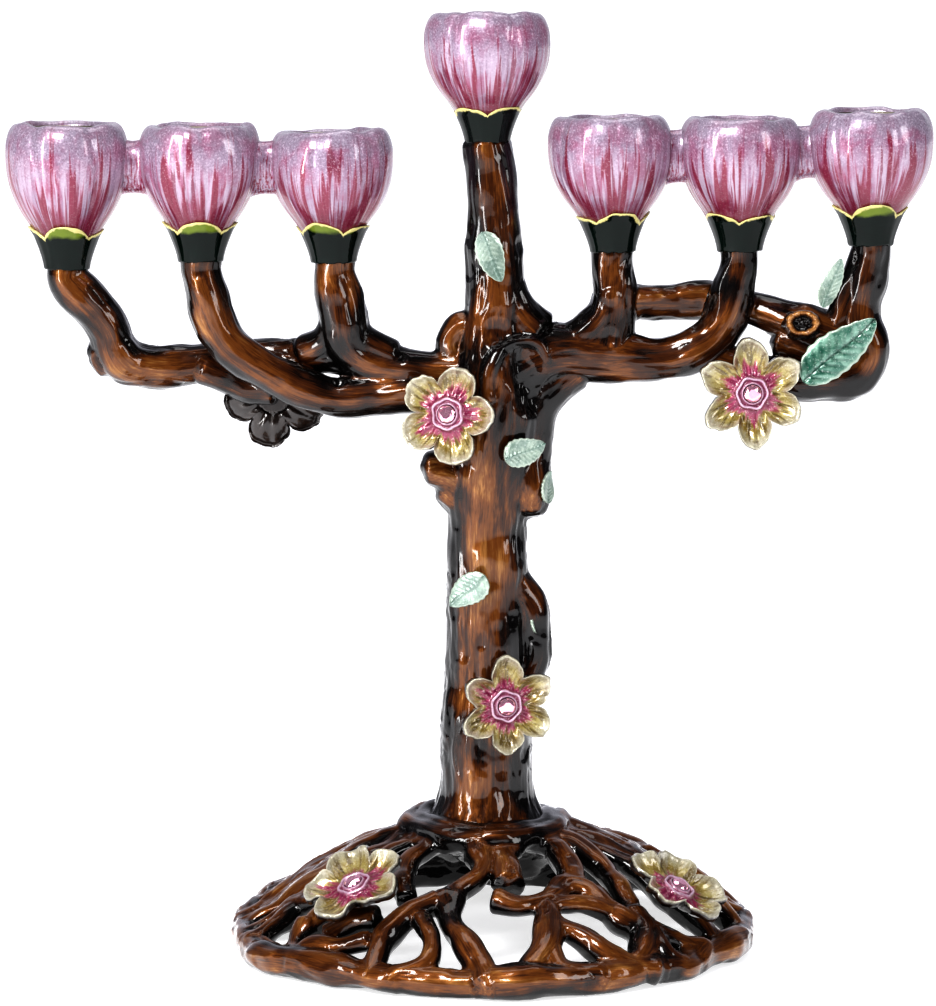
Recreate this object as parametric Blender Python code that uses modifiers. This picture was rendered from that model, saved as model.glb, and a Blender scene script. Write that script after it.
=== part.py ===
"""Seven-light tree candelabrum of cast and enamelled metal.

A tree trunk stands on a pierced dome of roots. Two boughs carry three tulip candle cups each,
and the trunk's own stem carries the seventh. Every cup stands in a leaf calyx and holds a metal
candle well. Blossoms with a cut crystal and small leaves are fixed to the bark and to the roots.

Frame: +Z up, the front faces -Y, the origin is on the standing plane, in the middle of the
bounding box. Lengths in the tables below are in millimetres and are turned into metres once.
"""

import math

import bmesh
import bpy
from mathutils import Euler, Matrix, Vector

MM = 0.001
FIT = 0.35            # clearance between pieces that touch
BASE_X = 5.5          # the base and the trunk stand a little right of the cups' middle
BASE_RADIUS = 57.2
BASE_WALL = 3.4
BASE_SEGMENTS = 60
COLLAR_Z = 26.0
SCREW_RADIUS = 1.95
WELL_RADIUS = 6.3
CUP_SIDES = 14
CUP_HEIGHT = 30.0     # nominal height from the calyx foot to the lip
SPIGOT_RADIUS = 1.9
SPIGOT_LENGTH = 3.9

# cup name: x, y, z of the calyx foot, height to the lip, lean to the right in degrees
CUPS = {
    "left_outer": (-86.0, 0.0, 146.2, 32.2, 0.5),
    "left_middle": (-57.3, 0.0, 147.9, 30.2, 0.0),
    "left_inner": (-28.8, 0.0, 147.7, 29.2, -0.7),
    "centre": (4.2, 0.0, 173.2, 28.6, -0.4),
    "right_inner": (31.1, 0.0, 149.9, 29.9, -1.5),
    "right_middle": (58.2, 0.0, 150.1, 29.4, 0.0),
    "right_outer": (86.3, 0.0, 151.4, 29.8, -0.5),
}

# Each bough runs from its cup, or from its free end, to where it is brazed on: x, y, z, radius.
TRUNK = (
    (4.1, 0, 26.35, 12.9), (4.1, 0, 29.5, 11.8), (4.1, 0, 34, 10.7), (4.0, 0, 44, 10.5),
    (4.2, 0, 57, 9.4), (4.2, 0, 75, 9.1), (4.4, 0, 92, 9.1), (5.0, 0, 106, 10.2),
    (5.8, 0, 116, 10.6), (6.0, 0, 126, 9.0), (6.2, 0, 134, 7.3), (6.2, 0, 141, 6.5),
    (5.7, 0, 150, 5.9), (5.1, 0, 161, 5.5),
)
LEFT_LIMB = (
    (-56.2, 0, 140.8, 4.5), (-55.0, 0, 136.3, 4.5), (-52.0, -0.3, 131.3, 4.4),
    (-48.0, -0.6, 127.6, 4.4), (-42.2, -0.8, 124.0, 4.3), (-35.3, -0.8, 120.6, 4.3),
    (-28.0, -0.6, 118.8, 4.2), (-20, -0.3, 119.2, 4.5), (-12, 0, 120.0, 5.0), (-4, 0, 120.4, 5.5),
    (3, 0, 120.4, 5.7),
)
LEFT_INNER = (
    (-28.0, 0, 140.6, 4.8), (-27.3, 0, 136, 5.0), (-25.6, 0.4, 130.5, 5.1), (-21, 0.6, 126.8, 4.6),
    (-14, 0.5, 125.4, 4.3), (-6, 0.2, 124.6, 4.5), (1, 0, 124, 4.8),
)
LEFT_OUTER = (
    (-83.4, 0.2, 139.8, 4.6), (-81.2, 0.8, 136.8, 4.6), (-78.6, 1.5, 133.2, 4.7),
    (-76.4, 2.2, 129.4, 4.8), (-73.2, 3.4, 126.2, 4.8), (-68, 4.8, 124.9, 4.6),
    (-61, 6.6, 125.0, 4.5), (-53, 7.6, 126.2, 4.2), (-44, 7.4, 127.2, 3.9), (-36, 4.8, 127.6, 3.8),
    (-30, 1.8, 127.8, 3.6),
)
RIGHT_LIMB = (
    (57.2, 0, 142.4, 4.7), (55.6, 0, 137.0, 4.6), (53.0, -0.4, 132.6, 4.5), (48.6, -0.8, 129.0, 4.4),
    (42, -0.6, 127.2, 4.5), (34, 0, 127.4, 5.0), (27, 0, 128.0, 5.8), (20, 0, 128.4, 6.4),
    (13, 0, 126.2, 6.6), (5, 0, 119.5, 7.0),
)
RIGHT_INNER = ((31.2, 0, 142.6, 4.7), (31.0, 0, 138, 4.9), (30.4, 0, 133, 5.1), (29.6, 0, 128, 4.9))
RIGHT_UPPER = (
    (32.5, 1.5, 138.6, 3.7), (39, 3.8, 139.2, 3.8), (47, 5.8, 139.4, 3.8), (54, 6.8, 139.2, 3.8),
    (61, 5.8, 138.0, 3.9), (67, 3.6, 136.0, 4.2), (72.5, 1.6, 134.2, 4.3), (79, 0.6, 131.6, 4.4),
    (84.5, 0, 130, 4.2),
)
RIGHT_OUTER = (
    (85.4, 0, 144.2, 4.5), (84.5, 0, 139.4, 4.2), (84.4, 0, 134.8, 4.4), (85.5, 0, 130.5, 4.8),
    (85.4, 0, 126.6, 4.9), (83.2, 0, 123.6, 4.8), (79, 0, 122.5, 4.6), (73, 0, 122.4, 4.5),
    (66, 0.3, 122.9, 4.4), (59, 0.6, 124.6, 4.2), (52, 1, 127, 4.0),
)

# bough name: route, cup on its end, boughs that it is scribed to, number of sides
BOUGHS = {
    "trunk": (TRUNK, "centre", (), 14),
    "left_limb": (LEFT_LIMB, "left_middle", ("trunk",), 10),
    "left_inner_branch": (LEFT_INNER, "left_inner", ("trunk", "left_limb"), 8),
    "left_outer_branch": (LEFT_OUTER, "left_outer", ("left_limb", "left_inner_branch"), 8),
    "right_limb": (RIGHT_LIMB, "right_middle", ("trunk", "left_limb", "left_inner_branch"), 10),
    "right_inner_branch": (RIGHT_INNER, "right_inner", ("right_limb",), 8),
    "right_outer_branch": (RIGHT_OUTER, "right_outer", ("right_limb",), 8),
    "right_upper_branch": (
        RIGHT_UPPER, None, ("right_inner_branch", "right_limb", "right_outer_branch"), 8),
}

# cup shell, radius and height on the nominal cup: outside from the foot to the lip, then inside
CUP_OUTSIDE = (
    (3.6, 5.3), (6.6, 6.8), (8.3, 9.2), (10.6, 12.8), (12.2, 17.0), (13.0, 21.4), (12.8, 25.4),
    (11.7, 28.6), (10.1, 30.0),
)
CUP_INSIDE = ((9.4, 29.6), (7.6, 25.6), (7.3, 23.8), (7.3, 11.7), (0.0, 11.7))
WELL_OUTSIDE = ((8.9, 29.3), (7.2, 25.5), (6.95, 23.8), (6.95, 12.05), (0.0, 12.05))
WELL_INSIDE = ((8.3, 29.5), (6.6, 25.3), (WELL_RADIUS, 23.8), (WELL_RADIUS, 12.8), (0.0, 12.8))
CALYX = (
    (8.55, 8.1), (7.8, 6.4), (6.2, 3.4), (4.9, 0.0), (2.3, 0.0), (2.3, 4.8), (3.9, 4.95),
    (6.85, 6.45), (8.15, 8.25),
)

# blossom name: x, y, z of its seat, turn to the right, tilt up, petals, radius, peg, cut by
BLOSSOMS = {
    "flower_shoulder": (-3.8, -9.2, 116.1, -14, 6, 5, 9.8, 4.0, ("trunk", "left_limb")),
    "flower_bough": (60.5, -5.2, 120.4, 4, 0, 6, 10.6, 1.5, ("right_outer_branch", "right_limb")),
    "flower_trunk": (7.6, -9.2, 53.4, 14, 0, 6, 9.9, 1.2, ("trunk",)),
    "flower_bough_rear": (-41.8, 4.9, 118.4, 180, 0, 5, 9.6, 1.6, ("left_outer_branch", "left_limb")),
}
# blossom on the dome: bearing from the front, distance from the axis, petals, radius
ROOT_BLOSSOMS = {
    "flower_root_left": (-44.0, 40.6, 5, 10.6),
    "flower_root_right": (58.5, 44.0, 5, 10.4),
}

# leaf name: x, y, z of its middle, turn to the right, lean of its length from upright, length, width
LEAVES = {
    "leaf_stem": (4.9, -6.9, 149.6, 6, 155, 11.4, 5.8),
    "leaf_crotch": (11.7, -9.8, 108.2, 30, 70, 10.4, 6.0),
    "leaf_trunk": (0.3, -9.7, 78.2, -24, -134, 10.8, 6.4),
    "leaf_side_upper": (16.6, -3.9, 99.8, 60, 6, 7.0, 4.6),
    "leaf_side_lower": (14.0, -3.4, 70.5, 70, 20, 5.6, 4.2),
    "leaf_large": (79.2, -6.2, 129.5, 0, 46, 20.4, 8.8),
    "leaf_outer_stem": (77.9, -1.6, 143.6, 0, 18, 11.2, 4.0),
}

# dome of roots: radius and height from the screw hole to the standing edge
DOME = (
    (2.5, COLLAR_Z), (7.5, COLLAR_Z), (13.2, COLLAR_Z), (16.5, 25.4), (20.5, 24.0), (26.0, 21.9),
    (32.0, 19.4), (37.5, 16.8), (42.5, 14.0), (47.5, 10.9), (52.0, 7.6), (55.4, 4.6),
    (BASE_RADIUS, 2.4), (BASE_RADIUS, 0.0),
)

COLOURS = {
    "bark": ((0.16, 0.065, 0.02, 1), 0.18, 0.75),
    "petal_enamel": ((0.62, 0.22, 0.33, 1), 0.22, 0.35),
    "calyx_enamel": ((0.01, 0.04, 0.02, 1), 0.15, 0.3),
    "well_metal": ((0.72, 0.55, 0.28, 1), 0.35, 1.0),
    "blossom_enamel": ((0.72, 0.66, 0.42, 1), 0.25, 0.3),
    "leaf_enamel": ((0.42, 0.52, 0.42, 1), 0.25, 0.4),
    "crystal": ((0.95, 0.45, 0.6, 1), 0.03, 0.0),
    "steel": ((0.6, 0.6, 0.6, 1), 0.35, 1.0),
}


def clear_scene():
    for obj in list(bpy.data.objects):
        bpy.data.objects.remove(obj, do_unlink=True)


def collection(name):
    made = bpy.data.collections.new(name)
    bpy.context.scene.collection.children.link(made)
    return made


def material(name, kind):
    colour, roughness, metallic = COLOURS[kind]
    made = bpy.data.materials.new(name)
    made.use_nodes = True
    shader = made.node_tree.nodes["Principled BSDF"]
    shader.inputs["Base Color"].default_value = colour
    shader.inputs["Roughness"].default_value = roughness
    shader.inputs["Metallic"].default_value = metallic
    return made


def add(name, mesh, kind, place=None):
    obj = bpy.data.objects.new(name, mesh)
    if place is not None:
        obj.matrix_world = place
    if kind is None:
        CUTTERS.objects.link(obj)
        obj.hide_render = True
        obj.display_type = "WIRE"
        return obj
    PARTS.objects.link(obj)
    mesh.materials.append(material(name, kind))
    mesh.shade_smooth()
    mesh.set_sharp_from_angle(angle=math.radians(35))
    return obj


def mesh_of(name, bm):
    mesh = bpy.data.meshes.new(name)
    bm.to_mesh(mesh)
    bm.free()
    return mesh


def cut(obj, cutter):
    modifier = obj.modifiers.new("cut_" + cutter.name, "BOOLEAN")
    modifier.operation = "DIFFERENCE"
    modifier.solver = "EXACT"
    modifier.object = cutter


def smooth_route(points, per_span=3):
    """Points on a smooth curve through the given ones, each with its radius."""
    ends = [points[0], *points, points[-1]]
    route = []
    for a, b, c, d in zip(ends, ends[1:], ends[2:], ends[3:], strict=False):
        for step in range(per_span):
            t = step / per_span
            route.append([
                0.5 * (2 * q + (r - p) * t + (2 * p - 5 * q + 4 * r - s) * t * t
                       + (3 * q - p - 3 * r + s) * t ** 3)
                for p, q, r, s in zip(a, b, c, d, strict=True)
            ])
    route.append(list(points[-1]))
    return route


def tube_mesh(name, route, sides, swell=0.0):
    """A closed tube mesh whose radius follows the route."""
    curve = bpy.data.curves.new(name, "CURVE")
    curve.dimensions = "3D"
    curve.bevel_depth = MM
    curve.bevel_resolution = (sides - 4) // 2
    curve.use_fill_caps = True
    spline = curve.splines.new("POLY")
    spline.points.add(len(route) - 1)
    for point, (x, y, z, radius) in zip(spline.points, route, strict=True):
        point.co = (x * MM, y * MM, z * MM, 1)
        point.radius = radius + swell
    obj = bpy.data.objects.new(name, curve)
    bpy.context.scene.collection.objects.link(obj)
    bpy.context.view_layer.update()
    graph = bpy.context.evaluated_depsgraph_get()
    mesh = bpy.data.meshes.new_from_object(obj.evaluated_get(graph))
    bpy.data.objects.remove(obj, do_unlink=True)
    bm = bmesh.new()
    bm.from_mesh(mesh)
    bmesh.ops.remove_doubles(bm, verts=bm.verts, dist=1e-6)
    bmesh.ops.recalc_face_normals(bm, faces=bm.faces)
    bm.to_mesh(mesh)
    bm.free()
    return mesh


def cup_frame(name):
    x, y, z, height, lean = CUPS[name]
    turn = Euler((0, math.radians(lean), 0)).to_matrix().to_4x4()
    return Matrix.Translation((x * MM, y * MM, z * MM)) @ turn


def with_spigot(route, cup):
    """The bough's route with a shoulder and a spigot that enters the calyx."""
    frame = cup_frame(cup)
    radius = 4.2 if cup != "centre" else 4.6
    tip = []
    for height, size in ((SPIGOT_LENGTH, SPIGOT_RADIUS), (-0.35, SPIGOT_RADIUS), (-0.85, radius),
                         (-3.2, radius)):
        x, y, z = frame @ Vector((0, 0, height * MM)) / MM
        tip.append([x, y, z, size])
    return tip


def bough_route(points, cup):
    ordered = points if cup != "centre" else points[::-1]
    route = smooth_route(ordered, 2 if len(points) > 4 else 3)
    return with_spigot(route, cup) + route if cup else route


def make_boughs():
    made = {}
    clearance = {}
    for name, (points, cup, neighbours, sides) in BOUGHS.items():
        route = bough_route(points, cup)
        made[name] = add(name, tube_mesh(name, route, sides), "bark")
        clearance[name] = add("room_" + name, tube_mesh("room_" + name, route, sides, FIT), None)
        for neighbour in neighbours:
            cut(made[name], clearance[neighbour])
    return made, clearance


def turned(name, profile, sides, kind, place=None, stretch=1.0):
    """A turned solid. The profile's outer side runs from top to bottom."""
    bm = bmesh.new()
    points = [bm.verts.new((r * MM, 0, z * stretch * MM)) for r, z in profile]
    for a, b in zip(points, points[1:], strict=False):
        bm.edges.new((a, b))
    if profile[0][0] > 0 and profile[-1][0] > 0:
        bm.edges.new((points[-1], points[0]))
    obj = add(name, mesh_of(name, bm), kind, place)
    screw = obj.modifiers.new("turn", "SCREW")
    screw.steps = sides
    screw.render_steps = sides
    screw.use_merge_vertices = True
    screw.merge_threshold = 0.00001
    return obj


def make_cups():
    """The cup shells, their wells and their calyxes. Returns the room that each shell needs."""
    rooms = {}
    foot = CUP_OUTSIDE[0]
    shell = CUP_INSIDE[::-1] + CUP_OUTSIDE[::-1] + ((0.0, foot[1]),)
    well = WELL_INSIDE[::-1] + WELL_OUTSIDE
    for name, (_, _, _, height, _) in CUPS.items():
        place = cup_frame(name)
        stretch = height / CUP_HEIGHT
        turned("cup_" + name, shell, CUP_SIDES, "petal_enamel", place, stretch)
        turned("candle_well_" + name, well, CUP_SIDES, "well_metal", place, stretch)
        turned("calyx_" + name, CALYX, CUP_SIDES, "calyx_enamel", place, stretch)
        room = tuple((r + FIT, z) for r, z in CUP_OUTSIDE[::-1])
        room = ((0.0, 31.0), (10.2, 31.0)) + room + ((0.0, foot[1]),)
        rooms[name] = turned("room_cup_" + name, room, CUP_SIDES, None, place, stretch)
    return rooms


def make_links(rooms):
    """The enamelled links that join neighbouring side cups just under their lips."""
    for side, pairs in (("left", (("outer", "middle"), ("middle", "inner"))),
                        ("right", (("inner", "middle"), ("middle", "outer")))):
        for first, second in pairs:
            a, b = side + "_" + first, side + "_" + second
            level = 0.69
            middle = sum(
                (cup_frame(cup) @ Vector((0, 0, CUPS[cup][3] * level * MM)) for cup in (a, b)),
                Vector(),
            ) / 2
            bm = bmesh.new()
            bmesh.ops.create_uvsphere(bm, u_segments=12, v_segments=8, radius=1)
            bmesh.ops.scale(bm, vec=(5.0 * MM, 3.9 * MM, 5.6 * MM), verts=bm.verts)
            name = "link_" + side + "_" + first + "_" + second
            link = add(name, mesh_of(name, bm), "petal_enamel", Matrix.Translation(middle))
            cut(link, rooms[a])
            cut(link, rooms[b])


def blossom_mesh(name, petals, radius, peg):
    """A dished blossom facing +Z, with a bezel at its middle and a peg behind it."""
    sides = petals * 4
    profile = (
        (0.0, 2.4), (2.15, 2.4), (2.2, 3.4), (3.1, 3.3), (3.9, 2.1), (0.97 * radius, 3.9),
        (radius, 3.1), (4.2, 0.4), (2.5, 0.3), (2.3, -peg), (0.0, -peg),
    )
    bm = bmesh.new()
    points = [bm.verts.new((r * MM, 0, z * MM)) for r, z in profile]
    edges = [bm.edges.new(pair) for pair in zip(points, points[1:], strict=False)]
    bmesh.ops.spin(
        bm, geom=points + edges, cent=(0, 0, 0), axis=(0, 0, 1), angle=math.tau, steps=sides,
        use_merge=True,
    )
    bmesh.ops.remove_doubles(bm, verts=bm.verts, dist=1e-6)
    for vertex in bm.verts:
        reach = math.hypot(vertex.co.x, vertex.co.y)
        if reach < 4.5 * MM:
            continue
        bearing = math.atan2(vertex.co.y, vertex.co.x)
        lobe = 0.86 + 0.14 * math.cos(petals * bearing)
        vertex.co.x *= lobe
        vertex.co.y *= lobe
        vertex.co.z += 0.35 * MM * math.cos(petals * bearing + 2.0)
    bmesh.ops.recalc_face_normals(bm, faces=bm.faces)
    return mesh_of(name, bm)


def crystal_mesh(name):
    """A round cut crystal: crown, girdle and pavilion."""
    bm = bmesh.new()
    bmesh.ops.create_cone(
        bm, cap_ends=True, segments=8, radius1=1.85 * MM, radius2=1.1 * MM, depth=0.7 * MM)
    for vertex in bm.verts:
        vertex.co.z += 3.45 * MM
    rim = [v for v in bm.verts if v.co.z < 3.2 * MM]
    bottom = [f for f in bm.faces if all(v in rim for v in f.verts)]
    pavilion = bmesh.ops.poke(bm, faces=bottom)["verts"][0]
    pavilion.co.z = 2.72 * MM
    bmesh.ops.recalc_face_normals(bm, faces=bm.faces)
    return mesh_of(name, bm)


def facing(x, y, z, turn, tilt):
    """A place whose +Z looks to the front (-Y), turned to the right and tilted up."""
    stand = Matrix.Rotation(math.radians(90), 4, "X")
    lift = Matrix.Rotation(math.radians(-tilt), 4, "X")
    swing = Matrix.Rotation(math.radians(turn), 4, "Z")
    return Matrix.Translation((x * MM, y * MM, z * MM)) @ swing @ lift @ stand


def dome_height(distance):
    for (r0, z0), (r1, z1) in zip(DOME, DOME[1:], strict=False):
        if r0 <= distance <= r1:
            slope = (z1 - z0) / (r1 - r0)
            return z0 + slope * (distance - r0), math.degrees(math.atan(-slope))
    return 0.0, 90.0


def make_blossoms(rooms):
    for name, (x, y, z, turn, tilt, petals, radius, peg, neighbours) in BLOSSOMS.items():
        place = facing(x, y, z, turn, tilt)
        flower = add(name, blossom_mesh(name, petals, radius, peg), "blossom_enamel", place)
        for neighbour in neighbours:
            cut(flower, rooms[neighbour])
        crystal = name.replace("flower", "crystal")
        add(crystal, crystal_mesh(crystal), "crystal", place)
    for name, (bearing, distance, petals, radius) in ROOT_BLOSSOMS.items():
        height, slope = dome_height(distance)
        turn = math.radians(bearing)
        lean = math.radians(slope)
        reach = distance + 1.6 * math.sin(lean)
        x = BASE_X + reach * math.sin(turn)
        y = -reach * math.cos(turn)
        z = height + 1.6 * math.cos(lean)
        place = facing(x, y, z, bearing, 90 - slope)
        add(name, blossom_mesh(name, petals, radius, 0.6), "blossom_enamel", place)
        crystal = name.replace("flower", "crystal")
        add(crystal, crystal_mesh(crystal), "crystal", place)


def make_leaves():
    for name, (x, y, z, turn, lean, length, width) in LEAVES.items():
        bm = bmesh.new()
        bmesh.ops.create_grid(bm, x_segments=2, y_segments=6, size=1)
        for vertex in bm.verts:
            along = vertex.co.y
            fullness = max(0.16, (1 - along * along) ** 0.62 * (1 - 0.25 * along))
            vertex.co.x *= 0.5 * width * fullness * MM
            vertex.co.y *= 0.5 * length * MM
        stand = facing(x, y, z, turn, 0) @ Matrix.Rotation(math.radians(-lean), 4, "Z")
        leaf = add(name, mesh_of(name, bm), "leaf_enamel", stand)
        shell = leaf.modifiers.new("thickness", "SOLIDIFY")
        shell.thickness = 0.9 * MM
        shell.offset = 1


def is_window(ring, segment):
    """Whether this cell of the dome is open: two rings of windows, the lower one closed behind."""
    if ring in (4, 5):
        return segment % 6 in (1, 2, 3, 4)
    if ring in (7, 8, 9):
        return segment % 5 in (0, 1, 2) and not 5 <= segment <= 24
    return False


def make_base():
    bm = bmesh.new()
    profile = [bm.verts.new((r * MM, 0, z * MM)) for r, z in DOME]
    edges = [bm.edges.new(pair) for pair in zip(profile, profile[1:], strict=False)]
    bmesh.ops.spin(
        bm, geom=profile + edges, cent=(0, 0, 0), axis=(0, 0, 1), angle=math.tau,
        steps=BASE_SEGMENTS, use_merge=True,
    )
    bmesh.ops.remove_doubles(bm, verts=bm.verts, dist=1e-6)
    windows = []
    for face in bm.faces:
        middle = face.calc_center_median()
        radii = sorted({round(math.hypot(v.co.x, v.co.y) / MM, 2) for v in face.verts})
        ring = sum(r <= radii[0] + 0.01 for r, _ in DOME) - 1
        segment = int(math.atan2(middle.y, middle.x) % math.tau / math.tau * BASE_SEGMENTS)
        if is_window(ring, segment):
            windows.append(face)
    bmesh.ops.delete(bm, geom=windows, context="FACES")
    for vertex in bm.verts:
        distance = math.hypot(vertex.co.x, vertex.co.y) / MM
        bearing = math.atan2(vertex.co.y, vertex.co.x)
        share = max(0.0, min(1.0, (distance - 16.5) / 20)) * max(0.0, min(1.0, (56 - distance) / 8))
        bearing += share * (0.09 * math.sin(0.31 * distance + 3 * bearing)
                            + 0.05 * math.sin(0.55 * distance - 5 * bearing))
        distance *= 1 + share * 0.03 * math.sin(7 * bearing)
        vertex.co.x = distance * math.cos(bearing) * MM
        vertex.co.y = distance * math.sin(bearing) * MM
    bmesh.ops.recalc_face_normals(bm, faces=bm.faces)
    base = add("root_base", mesh_of("root_base", bm), "bark", Matrix.Translation((BASE_X * MM, 0, 0)))
    shell = base.modifiers.new("wall", "SOLIDIFY")
    shell.thickness = BASE_WALL * MM
    shell.offset = -1


def make_fastening(trunk):
    """The screw that pulls the trunk down on the collar, from inside the dome."""
    under = COLLAR_Z - BASE_WALL
    place = Matrix.Translation((BASE_X * MM, 0, 0))
    washer = ((5.2, under - 0.3), (5.2, under - 1.2), (2.3, under - 1.2), (2.3, under - 0.3))
    turned("base_washer", washer, 16, "steel", place)
    head = under - 1.5
    screw = (
        (0.0, COLLAR_Z + 11), (SCREW_RADIUS, COLLAR_Z + 11), (SCREW_RADIUS, head), (3.9, head),
        (3.7, head - 2.2), (1.3, head - 2.2), (1.3, head - 1.2), (0.0, head - 1.2),
    )
    turned("base_screw", screw, 12, "steel", place)
    hole = ((0.0, COLLAR_Z + 12), (SCREW_RADIUS + FIT, COLLAR_Z + 12),
            (SCREW_RADIUS + FIT, COLLAR_Z - 2), (0.0, COLLAR_Z - 2))
    cut(trunk, turned("room_screw", hole, 12, None, place))


def make_knot(rooms):
    """The sawn stub on the right bough, with a ring round its face."""
    profile = ((0.0, 3.2), (1.8, 3.2), (2.2, 4.3), (3.2, 4.1), (3.8, 0.0), (0.0, 0.0))
    knot = turned("knot_stub", profile, 12, "bark", facing(71.8, -2.0, 134.6, -8, 12))
    cut(knot, rooms["right_upper_branch"])
    cut(knot, rooms["right_outer_branch"])


clear_scene()
PARTS = collection("tree_candelabrum")
CUTTERS = collection("cutters")
CUTTERS.hide_render = True
boughs, rooms = make_boughs()
make_links(make_cups())
make_blossoms(rooms)
make_leaves()
make_base()
make_fastening(boughs["trunk"])
make_knot(rooms)
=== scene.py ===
"""Seven-light tree candelabrum: the fine surfaces, the enamels, the light and the camera.

Lengths in the tables are millimetres. The front faces -Y, and +Z is up.
"""

import math

import bmesh
import bpy
import numpy as np
from mathutils import Euler, Matrix, Vector


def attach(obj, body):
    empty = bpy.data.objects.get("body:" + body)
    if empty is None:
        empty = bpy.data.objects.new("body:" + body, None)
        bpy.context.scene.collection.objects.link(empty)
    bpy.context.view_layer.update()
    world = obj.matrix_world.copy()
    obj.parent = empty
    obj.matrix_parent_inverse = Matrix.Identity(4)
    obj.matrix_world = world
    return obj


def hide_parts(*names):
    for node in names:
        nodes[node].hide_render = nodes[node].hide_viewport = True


MM = 0.001
TAU = math.tau
BASE_X = 5.5  # the dome's axis
RIM_REACH = 54.6  # farthest that a root's axis or the apron lies from the dome's axis
CUP_HEIGHT = 30.0  # height of the cup's profiles, before each cup's own stretch

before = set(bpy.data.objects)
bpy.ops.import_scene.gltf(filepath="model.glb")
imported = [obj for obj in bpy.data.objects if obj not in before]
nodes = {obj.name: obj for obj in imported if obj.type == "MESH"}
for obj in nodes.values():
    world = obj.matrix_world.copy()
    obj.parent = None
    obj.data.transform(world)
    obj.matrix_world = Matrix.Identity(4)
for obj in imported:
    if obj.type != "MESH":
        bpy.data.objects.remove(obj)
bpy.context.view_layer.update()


# ---------------------------------------------------------------- noise

def lattice(cell, seed):
    """A repeatable value from -1 to 1 for each whole-number cell."""
    x, y, z = cell[:, 0], cell[:, 1], cell[:, 2]
    mixed = (x * 374761393 + y * 668265263 + z * 1274126177 + seed * 974711) & 0xFFFFFFFF
    mixed = ((mixed ^ (mixed >> 13)) * 1274126177) & 0xFFFFFFFF
    mixed = mixed ^ (mixed >> 16)
    return (mixed & 0xFFFFFF) / float(0xFFFFFF) * 2 - 1


def noise(points, seed=0):
    """Smooth noise from -1 to 1."""
    cell = np.floor(points).astype(np.int64)
    t = points - cell
    t = t * t * t * (t * (t * 6 - 15) + 10)
    total = np.zeros(len(points))
    for corner in range(8):
        step = np.array([corner & 1, corner >> 1 & 1, corner >> 2 & 1])
        share = np.prod(np.where(step, t, 1 - t), axis=1)
        total += share * lattice(cell + step, seed)
    return total


def layered(points, octaves=3, seed=0):
    """Noise in layers, each finer and half as strong."""
    total, size = np.zeros(len(points)), 1.0
    for octave in range(octaves):
        total += noise(points * 2.03 ** octave + 17.3 * octave, seed + octave) * size
        size *= 0.5
    return total


def smoothstep(low, high, value):
    t = np.clip((value - low) / (high - low), 0, 1)
    return t * t * (3 - 2 * t)


def polar(radius, angle, height):
    """Points at these radii, angles and heights round the +Z axis."""
    return np.stack([radius * np.cos(angle), radius * np.sin(angle), height + 0 * angle], axis=-1)


def turned(profile, sides):
    """Radius, height and angle of each point of a profile of (radius, height) turned round +Z."""
    angle = np.arange(sides) / sides * TAU
    profile = np.asarray(profile, float)
    return (np.repeat(profile[:, 0], sides), np.repeat(profile[:, 1], sides),
            np.tile(angle, len(profile)))


# ---------------------------------------------------------------- meshes

def make_object(name, mesh, material, smooth=True):
    obj = bpy.data.objects.new(name, mesh)
    bpy.context.scene.collection.objects.link(obj)
    mesh.materials.clear()
    mesh.materials.append(material)
    if smooth:
        mesh.shade_smooth()
    return obj


def mesh_from(name, points, faces):
    mesh = bpy.data.meshes.new(name)
    mesh.from_pydata(np.asarray(points, float).tolist(), [], faces)
    mesh.update()
    return mesh


def grid_faces(rows, columns, closed_columns=True, closed_rows=False):
    """Quads of a grid whose points run row by row."""
    faces = []
    last_row = rows if closed_rows else rows - 1
    last_column = columns if closed_columns else columns - 1
    for i in range(last_row):
        a, b = i * columns, (i + 1) % rows * columns
        for j in range(last_column):
            k = (j + 1) % columns
            faces.append((a + j, a + k, b + k, b + j))
    return faces


def give(mesh, name, values):
    """Stores one number or one vector for each point, for the materials to read."""
    values = np.asarray(values, np.float32)
    if values.ndim == 1:
        mesh.attributes.new(name, "FLOAT", "POINT").data.foreach_set("value", values)
    else:
        layer = mesh.attributes.new(name, "FLOAT_VECTOR", "POINT")
        layer.data.foreach_set("vector", values.ravel())


def points_of(mesh):
    co = np.empty(len(mesh.vertices) * 3, np.float32)
    mesh.vertices.foreach_get("co", co)
    return co.reshape(-1, 3).astype(float)


def normals_of(mesh):
    normal = np.empty(len(mesh.vertices) * 3, np.float32)
    mesh.vertex_normals.foreach_get("vector", normal)
    return normal.reshape(-1, 3).astype(float)


def solid_from(name, points, faces):
    """A closed mesh whose faces all look outwards."""
    mesh = mesh_from(name, points, faces)
    bm = bmesh.new()
    bm.from_mesh(mesh)
    bmesh.ops.recalc_face_normals(bm, faces=bm.faces)
    bm.to_mesh(mesh)
    bm.free()
    return mesh


def evaluated(obj):
    """The object's mesh with its modifiers worked in, and the object removed."""
    bpy.context.view_layer.update()
    graph = bpy.context.evaluated_depsgraph_get()
    mesh = bpy.data.meshes.new_from_object(obj.evaluated_get(graph))
    bpy.data.objects.remove(obj, do_unlink=True)
    return mesh


# ---------------------------------------------------------------- wood

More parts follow.
